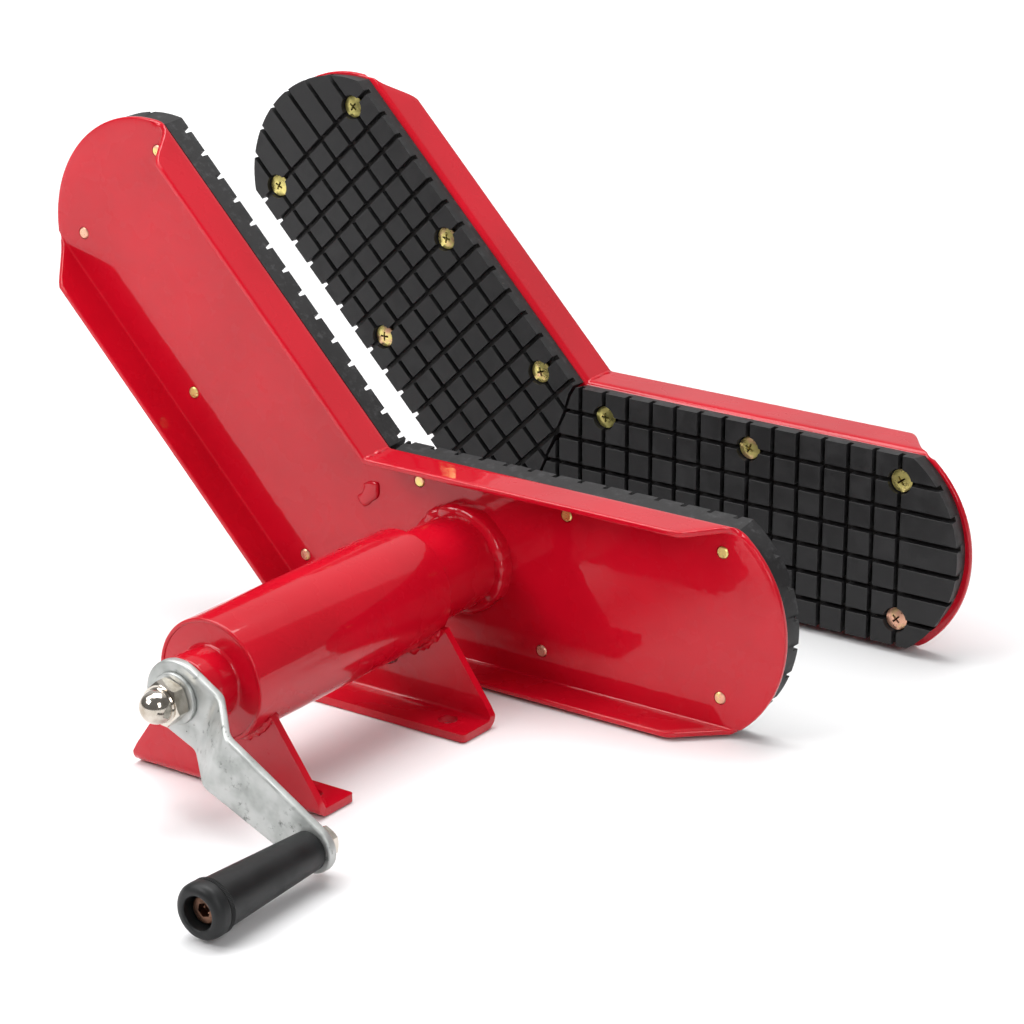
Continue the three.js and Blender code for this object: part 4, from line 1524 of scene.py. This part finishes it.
@dataclass
class Slide:
    """The inner tube that carries the moving jaw, and its drive nut."""

    wall: float = 3.5 * MM
    weld_length: float = 8 * MM
    weld_leg: float = 4.85 * MM
    nut_bore: float = 8.25 * MM
    slot: tuple[float, float, float] = (4.3 * MM, -64.3 * MM, 34.3 * MM)

    def build(self) -> None:
        """Builds the tube, the bead that joins it to the jaw, and the nut."""
        seat = Round("inner_tube")
        x, z = seat.x, seat.z
        outside = seat.radius - self.weld_leg
        inside = outside - self.wall
        lip = 0.8 * MM
        corners = [(inside, seat.front), (outside, seat.front), (outside, seat.rear), (inside, seat.rear)]
        made = lathe("painted_inner_tube", filleted(corners, [lip, lip, 0, 0], 4), x, z, 112)
        half, front, rear = self.slot
        slot = prism("slot", [(-half, front), (half, front), (half, rear), (-half, rear)],
                     z - outside - 5 * MM, z - inside + 3 * MM, lambda a, b, h: Vector((x + a, b, h)))
        cut_by(made, slot)
        dress(made, PAINT, Body.MOVING_JAW, "inner_tube")
        self.collar_weld(x, z, outside, seat.rear)
        made = turned_ring("turned_drive_nut", "drive_nut", self.nut_bore, [0.8 * MM] * 4, 2, 64)
        dress(made, BRONZE, Body.MOVING_JAW, "drive_nut")

    def collar_weld(self, x: float, z: float, radius: float, rear: float) -> None:
        """The heavy bead round the tube's end, laid in short overlapping runs.

        Args:
            x: The tube's axis along X.
            z: The axis's height.
            radius: The tube's radius.
            rear: Where the tube ends, at the jaw's back.
        """
        leg, length = self.weld_leg, self.weld_length
        facets = 180
        shape = [(-0.4, 0.98), (0.1, 1.0), (0.5, 0.97), (0.78, 0.9), (0.93, 0.76), (1.0, 0.55), (1.03, 0.2),
                 (1.03, -0.1), (-0.4, -0.1)]
        work = bmesh.new()
        rings = []
        for k in range(facets):
            turn = 2 * math.pi * k / facets
            run = abs(math.cos(5.5 * turn + 0.8 * math.sin(3 * turn)))
            uneven = noise.noise(Vector((3 * math.cos(turn), 3 * math.sin(turn), 2.2)))
            swell = 0.86 + 0.13 * run + 0.11 * uneven
            row = []
            for out, back in shape:
                r = radius + leg * out * (swell if out > 0 else 1.0)
                y = rear - length * back * (swell if back > 0 else 1.0)
                row.append(work.verts.new((x + r * math.cos(turn), y, z + r * math.sin(turn))))
            rings.append(row)
        skinned(work, rings, True)
        made = from_bmesh("jaw_collar_weld", work, WELD_SHARP)
        dress(made, PAINT, Body.MOVING_JAW)


@dataclass
class Foot:
    """A folded steel foot, bolted to the bench through two holes and welded under a tube."""

    node: str
    towards: int
    tube_radius: float
    tube_x: float
    axis: float
    seed: float
    sheet: float = 4 * MM
    bend: float = 6 * MM
    shoulder: float = 29 * MM
    drop: float = 14.7 * MM
    edge_height: float = 7 * MM
    corner: float = 2.2 * MM
    hole: float = 5 * MM
    hole_from_edge: float = 12 * MM
    holes_apart: float = 76 * MM

    def __post_init__(self) -> None:
        """Reads the foot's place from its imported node."""
        self.low, self.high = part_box(self.node)
        self.face = self.low.y if self.towards > 0 else self.high.y
        self.depth = self.high.y - self.low.y
        self.half = (self.high.x - self.low.x) / 2
        self.middle_x = (self.low.x + self.high.x) / 2

    def half_width(self, run: float, height: float) -> float:
        """Half the plate's width at a place along its fold.

        Args:
            run: Distance out from the upright face.
            height: Height above the bench.

        Returns:
            Half the width there.
        """
        top = self.axis - self.drop
        if height > self.edge_height:
            share = min(1.0, (height - self.edge_height) / (top - self.edge_height))
            return self.half + share * (self.shoulder - self.half)
        left = self.depth - run
        if left < self.corner:
            return self.half - self.corner + math.sqrt(max(0.0, self.corner ** 2 - (self.corner - left) ** 2))
        return self.half

    def section(self) -> list[tuple[Point2, Point2]]:
        """The fold, as matched (run, height) points on its outside and inside, from the top down."""
        top = self.axis - self.drop
        inner = self.bend - self.sheet
        levels = [top + (self.bend - top) * k / 9 for k in range(9)]
        pairs = [((0.0, h), (self.sheet, h)) for h in levels]
        for k in range(9):
            turn = math.pi + math.pi / 2 * k / 8
            c, s = math.cos(turn), math.sin(turn)
            pairs.append(((self.bend + self.bend * c, self.bend + self.bend * s),
                          (self.bend + inner * c, self.bend + inner * s)))
        flat = [self.bend + (self.depth - self.corner - self.bend) * k / 4 for k in range(1, 5)]
        pairs += [((run, 0.0), (run, self.sheet)) for run in flat]
        for k in range(1, 9):
            run = self.depth - self.corner + self.corner * math.sin(math.pi / 2 * k / 8)
            pairs.append(((run, 0.0), (run, self.sheet)))
        return pairs

    def build(self) -> None:
        """Builds and dresses the foot and its welds."""
        shares = [-1 + 2 * k / 16 for k in range(17)]
        rows = []
        for pair in self.section():
            half = self.half_width(*pair[0])
            places = [(self.face + self.towards * run, height) for run, height in pair]
            rows.append([
                tuple((self.middle_x + share * half, y, height) for y, height in places) for share in shares
            ])
        plate = folded(f"folded_{self.node}", rows)
        saddle, past = self.tube_radius - 0.5 * MM, 60 * MM
        cutters = [drill(self.tube_x, self.axis, saddle, self.face - past, self.face + past, 96)]
        for side in (-1, 1):
            x = self.tube_x + side * self.holes_apart / 2
            y = self.face + self.towards * (self.depth - self.hole_from_edge)
            hole = drill(0.0, 0.0, self.hole, -3 * self.sheet, 3 * self.sheet, 40)
            hole.data.transform(Matrix.Translation((x, y, 0)) @ Matrix.Rotation(math.pi / 2, 4, "X"))
            cutters.append(hole)
        cut_by(plate, *cutters)
        rounded_edges(plate, 0.7 * MM, 3, 40.0)
        dress(plate, PAINT, Body.HOUSING, self.node)
        self.weld()

    def weld(self) -> None:
        """Beads where the plate's two sides of the saddle meet the tube."""
        start = math.asin(self.drop / self.tube_radius)
        reach = self.tube_radius + 0.3 * MM
        turns = [-start - (0.95 - start * 0.2) * k / 34 for k in range(35)]
        for hand, side in (("left", -1), ("right", 1)):
            for run, name in ((0.0, "front"), (self.sheet, "back")):
                y = self.face + self.towards * run
                line = [Vector((self.tube_x + side * reach * math.cos(t), y, self.axis + reach * math.sin(t)))
                        for t in turns]
                seed = self.seed + run * 900 + side
                made = bead(f"{self.node}_{hand}_{name}_weld", line, 2.0 * MM, seed, lumps=0.9)
                dress(made, PAINT, Body.HOUSING)


@dataclass
class Post:
    """The short stub tube and cap behind the fixed jaw."""

    wall: float = 3.5 * MM

    def build(self) -> None:
        """Builds and dresses the stub, its cap and its welds."""
        post, cap = Round("fixed_post"), Round("fixed_post_cap")
        inside = post.radius - self.wall
        made = turned_ring("painted_fixed_post", "fixed_post", inside, [0.7 * MM, 0, 0, 1 * MM], 5, 112)
        dress(made, PAINT, Body.HOUSING, "fixed_post")
        lip = arc((cap.radius - 1 * MM, cap.rear - 1 * MM), 1 * MM, 0.0, math.pi / 2, 4)
        profile = [(0.0, cap.front), (cap.radius, cap.front), *lip, (0.0, cap.rear)]
        made = lathe("painted_post_cap", profile, post.x, post.z, 96)
        dress(made, PAINT, Body.HOUSING, "fixed_post_cap")
        turns = [2 * math.pi * k / 120 for k in range(120)]
        for name, radius, y, size, seed, lumps, ripple in (
            ("post_jaw_weld", post.radius, post.front + 0.6 * MM, 2.8 * MM, 9.1, 0.35, 6 * MM),
            ("post_cap_weld", inside, cap.rear + 0.1 * MM, 0.9 * MM, 3.3, 0.3, 5 * MM),
        ):
            line = [Vector((post.x + radius * math.cos(t), y, post.z + radius * math.sin(t))) for t in turns]
            dress(bead(name, line, size, seed, True, lumps, ripple), PAINT, Body.HOUSING)


# ---- Crank ----


@dataclass
class Crank:
    """The stepped crank arm with its nut and washers, and the revolving grip."""

    radius: float = 100 * MM
    sheet: float = 5 * MM
    hub: float = 17.8 * MM
    end: float = 11.5 * MM
    step_start: float = 20 * MM
    step_end: float = 39 * MM
    offset: float = 16 * MM
    round_over: float = 1.25 * MM

    def __post_init__(self) -> None:
        """Reads the arm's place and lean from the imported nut, grip and arm."""
        hub = middle("acorn_nut")
        tip = middle("grip")
        self.axis = Vector((hub.x, 0.0, hub.z))
        self.lean = math.atan2(tip.z - hub.z, tip.x - hub.x)
        self.tip = Vector((tip.x, 0.0, tip.z))
        low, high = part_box("crank_arm")
        self.rear = high.y
        self.front = low.y

    def at(self, u: float, v: float, y: float) -> Vector:
        """A place at u along the arm, v across it and y along the screw."""
        c, s = math.cos(self.lean), math.sin(self.lean)
        return Vector((self.axis.x + u * c - v * s, y, self.axis.z + u * s + v * c))

    def step(self, u: float) -> float:
        """How far the bar has stepped forward at u, with a rounded bend at each end.

        Args:
            u: Distance from the hub's centre.

        Returns:
            The step's size there.
        """
        blend = 2.6 * MM
        slope = self.offset / (self.step_end - self.step_start)

        def ramp(distance: float) -> float:
            """Zero, then a parabola, then a straight climb."""
            if distance < -blend:
                return 0.0
            if distance < blend:
                return (distance + blend) ** 2 / (4 * blend)
            return distance

        return slope * (ramp(u - self.step_start) - ramp(u - self.step_end))

    def arm(self) -> None:
        """The bar: round ends, straight sides, bent twice, with rolled-over edges."""
        lean = math.acos((self.hub - self.end) / self.radius)
        outline = arc((0.0, 0.0), self.hub, lean, 2 * math.pi - lean, 44)
        outline += arc((self.radius, 0.0), self.end, -lean, lean, 32)
        bar = prism("crank_bar", outline, 0.0, self.sheet, lambda u, v, y: Vector((u, y, v)))
        work = bmesh.new()
        work.from_mesh(bar.data)
        stations = [self.step_start - 7 * MM + k * 1.1 * MM for k in range(32)]
        for u in stations:
            everything = list(work.verts) + list(work.edges) + list(work.faces)
            bmesh.ops.bisect_plane(work, geom=everything, plane_co=(u, 0, 0), plane_no=(1, 0, 0))
        work.to_mesh(bar.data)
        work.free()
        rounded_edges(bar, self.round_over, 4, 60.0)
        hub_front = self.rear - self.sheet
        for vertex in bar.data.vertices:
            shift = self.step(vertex.co.x)
            vertex.co = self.at(vertex.co.x, vertex.co.z, hub_front + vertex.co.y - shift)
        work = bmesh.new()
        work.from_mesh(bar.data)
        bmesh.ops.recalc_face_normals(work, faces=work.faces)
        work.to_mesh(bar.data)
        work.free()
        holes = []
        for u, bore in ((0.0, 6.3 * MM), (self.radius, 4.3 * MM)):
            spot = self.at(u, 0.0, 0.0)
            holes.append(drill(spot.x, spot.z, bore, self.front - 5 * MM, self.rear + 5 * MM, 32))
        cut_by(bar, *holes)
        dress(bar, GALVANISED, Body.CRANK, "crank_arm")

    def hub_nut(self) -> None:
        """The acorn nut and its broad washer."""
        lips = [0.2 * MM, 0.3 * MM, 0.7 * MM, 0.2 * MM]
        made = turned_ring("galvanised_washer", "crank_washer", 6.3 * MM, lips, 4, 80, 12.5 * MM)
        dress(made, GALVANISED, Body.CRANK, "crank_washer")
        nut = Round("acorn_nut")
        flats, height, dome = 19 * MM, 8 * MM, 8 * MM
        seat = nut.rear - height
        x, z = self.axis.x, self.axis.z
        made = hexagon("acorn_nut_body", x, z, flats, seat, nut.rear, self.lean + 0.2)
        dress(made, NICKEL, Body.CRANK, "acorn_nut")
        root = dome + 0.5 * MM
        profile = [*arc((0.0, nut.front + dome), dome, -math.pi / 2, 0.0, 14), (dome, seat - 0.9 * MM),
                   (root, seat - 0.2 * MM), (root, seat + 2 * MM), (0.0, seat + 2 * MM)]
        dress(lathe("acorn_nut_dome", profile, x, z, 64), NICKEL, Body.CRANK)

    def build(self) -> None:
        """Builds and dresses the arm, the nuts and the grip's bolt."""
        self.arm()
        self.hub_nut()
        self.grip_bolt()

    def grip_bolt(self) -> None:
        """The socket-head bolt that the grip turns on, its washer and its nut."""
        x, z = self.tip.x, self.tip.z
        bolt = Round("grip_bolt")
        head, height, shank = 6.5 * MM, 8 * MM, 4 * MM
        front, seat, rear = bolt.front, bolt.front + height, bolt.rear
        corners = [(0.0, front), (head, front), (head, seat), (shank, seat), (shank, rear), (0.0, rear)]
        profile = filleted(corners, [0, 0.8 * MM, 0.2 * MM, 0, 0.7 * MM, 0], 4)
        made = lathe("grip_socket_bolt", profile, x, z, 48)
        cut_by(made, hexagon("socket", x, z, 6 * MM, front - 3 * MM, front + 4 * MM, 0.3))
        dress(made, OILED_STEEL, Body.CRANK, "grip_bolt")
        lips = [0.2 * MM, 0.2 * MM, 0.4 * MM, 0.4 * MM]
        made = turned_ring("grip_end_washer", "grip_washer", 4.3 * MM, lips, 3, 56, 8 * MM)
        dress(made, NICKEL, Body.CRANK, "grip_washer")
        nut = Round("grip_nut")
        made = hexagon("grip_end_nut", x, z, 13 * MM, nut.front, nut.rear, 0.5)
        cut_by(made, drill(x, z, 4.05 * MM, nut.front - 1 * MM, nut.rear + 1 * MM, 40))
        dress(made, NICKEL, Body.CRANK, "grip_nut")


@dataclass
class Grip:
    """The moulded grip that turns on its bolt, with a ribbed band behind its rim."""

    rear_radius: float = 9.3 * MM
    front_radius: float = 12.2 * MM
    rim_radius: float = 13.1 * MM
    rim_length: float = 10 * MM
    pocket: float = 7.75 * MM
    pocket_depth: float = 13 * MM
    bore: float = 4.25 * MM
    nose: float = 4 * MM
    rib_count: int = 110
    rib_length: float = 3.0 * MM
    rib_size: float = 0.27 * MM
    band_radius: float = 12.75 * MM

    def build(self, copies: NodeRecipe) -> None:
        """Builds and dresses the grip.

        Args:
            copies: The tree that puts copies on points.
        """
        seat = Round("grip")
        x, z, front, rear = seat.x, seat.z, seat.front, seat.rear
        rim_rear = front + self.rim_length
        floor = front + self.pocket_depth
        corners = [
            (self.pocket, front), (self.rim_radius, front), (self.rim_radius, rim_rear - 2.9 * MM),
            (self.band_radius, rim_rear - 2.5 * MM), (self.band_radius, rim_rear + 0.6 * MM),
            (self.front_radius - 0.1 * MM, rim_rear + 0.9 * MM),
            (self.rear_radius, rear), (self.bore, rear), (self.bore, floor), (self.pocket, floor),
        ]
        radii = [1.1 * MM, self.nose, 0.5 * MM, 0, 0.15 * MM, 0.1 * MM, 0.8 * MM, 0, 0, 0.4 * MM]
        made = lathe("moulded_grip", filleted(corners, radii, 8), x, z, 96)
        dress(made, NYLON, Body.GRIP, "grip")
        self.ribs(copies, x, z, rim_rear)

    def ribs(self, copies: NodeRecipe, x: float, z: float, rim_rear: float) -> None:
        """The fine ribs moulded round the band behind the rim.

        Args:
            copies: The tree that puts copies on points.
            x: The grip's axis along X.
            z: The axis's height.
            rim_rear: Where the rim ends.
        """
        half, size = self.rib_length / 2, self.rib_size
        rib = lathe("rib", [(0.0, -half), (size, size - half), (size, half - size), (0.0, half)], 0.0, 0.0, 8)
        radius, y = self.band_radius + 0.02 * MM, rim_rear - 0.95 * MM
        turns = [2 * math.pi * k / self.rib_count for k in range(self.rib_count)]
        places = [Vector((x + radius * math.cos(t), y, z + radius * math.sin(t))) for t in turns]
        made = points_object("grip_neck_ribs", places, [0.0] * len(places))
        still = (0.0, 0.0, 0.0)
        wanted = {"Part": rib, "Turn": still, "Step Turn": still, "Material": NYLON.material()}
        copies.apply(made, wanted, 40.0)
        dress(made, NYLON, Body.GRIP)
        thrown_away(rib)


@dataclass
class CarriedOver:
    """CAD nodes that keep their own shape and take a real finish."""

    nodes: dict[str, Finish] = field(default_factory=lambda: {
        "lead_screw": STEEL, "thrust_washer": BRONZE, "thrust_collar": STEEL,
    })

    def build(self) -> None:
        """Puts each finish on its node."""
        for name, finish in self.nodes.items():
            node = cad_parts[name]
            node.data.materials.clear()
            node.data.materials.append(finish.material())
            LOG.info("%s keeps its CAD shape", name)


# ---- Studio ----


@dataclass
class Studio:
    """A pale sweep of floor, soft boxes and the camera."""

    target: Vector = field(default_factory=lambda: Vector((0.0248, 0.0732, 0.0870)))
    azimuth: float = math.radians(35.45)
    elevation: float = math.radians(19.8)
    roll: float = math.radians(-0.19)
    distance: float = 1.668
    lens: float = 117.7
    room: float = 0.2
    sheet: float = 0.62
    ragged_edge: float = 0.06
    wash_start: float = 0.5
    wash_end: float = 2.0
    wash: float = 0.75

    def floor(self) -> None:
        """A pale floor, just under the feet."""
        size = 6.0
        mesh = bpy.data.meshes.new("studio_floor")
        corners = [(-size, -size, 0), (size, -size, 0), (size, size, 0), (-size, size, 0)]
        mesh.from_pydata([(a, b, -0.0006) for a, b, _ in corners], [], [(0, 1, 2, 3)])
        made = new_object("studio_floor", mesh)
        paper = bpy.data.materials.new("pale_paper")
        paper.use_nodes = True
        tree = paper.node_tree
        tree.nodes.clear()
        tone = mixed(tree, grain(tree, 0.4, 2.0), linear("F2F2F2"), linear("EDEDEE"))
        away = add(tree, "ShaderNodeVectorMath", {0: place_of(tree)}, operation="LENGTH").outputs["Value"]
        wash = banded(tree, away, self.wash_start, self.wash_end, 0.0, self.wash)
        shader = add(tree, "ShaderNodeBsdfPrincipled", {
            "Base Color": tone, "Roughness": 0.8, "Emission Color": tone, "Emission Strength": wash,
        })
        add(tree, "ShaderNodeOutputMaterial", {"Surface": shader.outputs["BSDF"]})
        mesh.materials.append(paper)

    def lamp(self, name: str, place: Vector, size: Point2, power: float) -> None:
        """A soft box aimed at the object.

        Args:
            name: The lamp's name.
            place: Where it hangs.
            size: Its width and height.
            power: Its power in watts.
        """
        data = bpy.data.lights.new(name, "AREA")
        data.shape = "RECTANGLE"
        data.size, data.size_y = size
        data.energy = power
        made = bpy.data.objects.new(name, data)
        bpy.context.scene.collection.objects.link(made)
        made.location = place
        made.rotation_mode = "QUATERNION"
        made.rotation_quaternion = (self.target - place).to_track_quat("-Z", "Y")

    def world(self) -> None:
        """A bright sheet behind and to the left, and a dim room elsewhere."""
        world = bpy.data.worlds.new("studio")
        bpy.context.scene.world = world
        world.use_nodes = True
        tree = world.node_tree
        tree.nodes.clear()
        way = add(tree, "ShaderNodeTexCoord").outputs["Generated"]
        ragged = add(tree, "ShaderNodeTexNoise", {"Vector": way, "Scale": 9.0, "Detail": 3.0}).outputs["Fac"]
        split = add(tree, "ShaderNodeSeparateXYZ", {"Vector": way})
        across = reckon(tree, "ADD", split.outputs["X"], reckon(tree, "MULTIPLY", ragged, self.ragged_edge))
        left = banded(tree, across, 0.44, 0.36)
        behind = banded(tree, split.outputs["Y"], -0.1, 0.45)
        strength = banded(tree, reckon(tree, "MULTIPLY", left, behind), 0.0, 1.0, self.room, self.sheet)
        shader = add(tree, "ShaderNodeBackground", {"Color": linear("FFFFFF"), "Strength": strength})
        add(tree, "ShaderNodeOutputWorld", {"Surface": shader.outputs["Background"]})

    def camera(self) -> None:
        """The camera, looking down on the crank's side."""
        data = bpy.data.cameras.new("camera")
        data.lens = self.lens
        data.sensor_width = 36.0
        data.clip_start, data.clip_end = 0.05, 50.0
        made = bpy.data.objects.new("camera", data)
        bpy.context.scene.collection.objects.link(made)
        a, e, tilt = self.azimuth, self.elevation, self.roll
        back = Vector((math.sin(a) * math.cos(e), -math.cos(a) * math.cos(e), math.sin(e)))
        right = Vector((math.cos(a), math.sin(a), 0.0))
        up = back.cross(right)
        turned_right = right * math.cos(tilt) + up * math.sin(tilt)
        turned_up = up * math.cos(tilt) - right * math.sin(tilt)
        made.location = self.target + back * self.distance
        made.rotation_mode = "QUATERNION"
        made.rotation_quaternion = Matrix((turned_right, turned_up, back)).transposed().to_quaternion()
        bpy.context.scene.camera = made

    def build(self) -> None:
        """Sets up the whole studio."""
        bpy.context.scene.view_settings.view_transform = "Standard"
        self.floor()
        self.world()
        self.lamp("top_box", Vector((-0.15, 0.25, 1.7)), (1.4, 1.0), 26.0)
        self.lamp("left_box", Vector((-0.8, -1.35, 1.3)), (0.9, 0.7), 17.0)
        self.lamp("front_box", Vector((1.5, -0.9, 1.1)), (0.5, 0.9), 12.0)
        self.lamp("edge_box", Vector((-0.85, -0.45, 1.3)), (0.4, 0.9), 7.0)
        self.camera()


def main() -> None:
    """Builds the studio and the clamp, piece by piece."""
    logging.basicConfig(level=logging.INFO, format="%(name)s: %(message)s")
    Studio().build()
    tread = tread_recipe()
    copies = scatter_recipe()
    screw = PadScrew().build()
    Jaw("moving", Body.MOVING_JAW, 1, 2.0, 0.74).build(tread, copies, screw)
    Jaw("fixed", Body.HOUSING, -1, 5.0, 0.46).build(tread, copies, screw)
    thrown_away(screw)
    housing = Housing()
    housing.build()
    Slide().build()
    post_x = Round("fixed_post").x
    for node, towards, x, seed in (
        ("front_foot", 1, housing.x, 1.1), ("rear_foot", -1, housing.x, 2.3), ("fixed_foot", -1, post_x, 3.7),
    ):
        Foot(node, towards, housing.radius, x, housing.z, seed).build()
    Post().build()
    Crank().build()
    Grip().build(copies)
    CarriedOver().build()


if __name__ == "__main__":
    main()
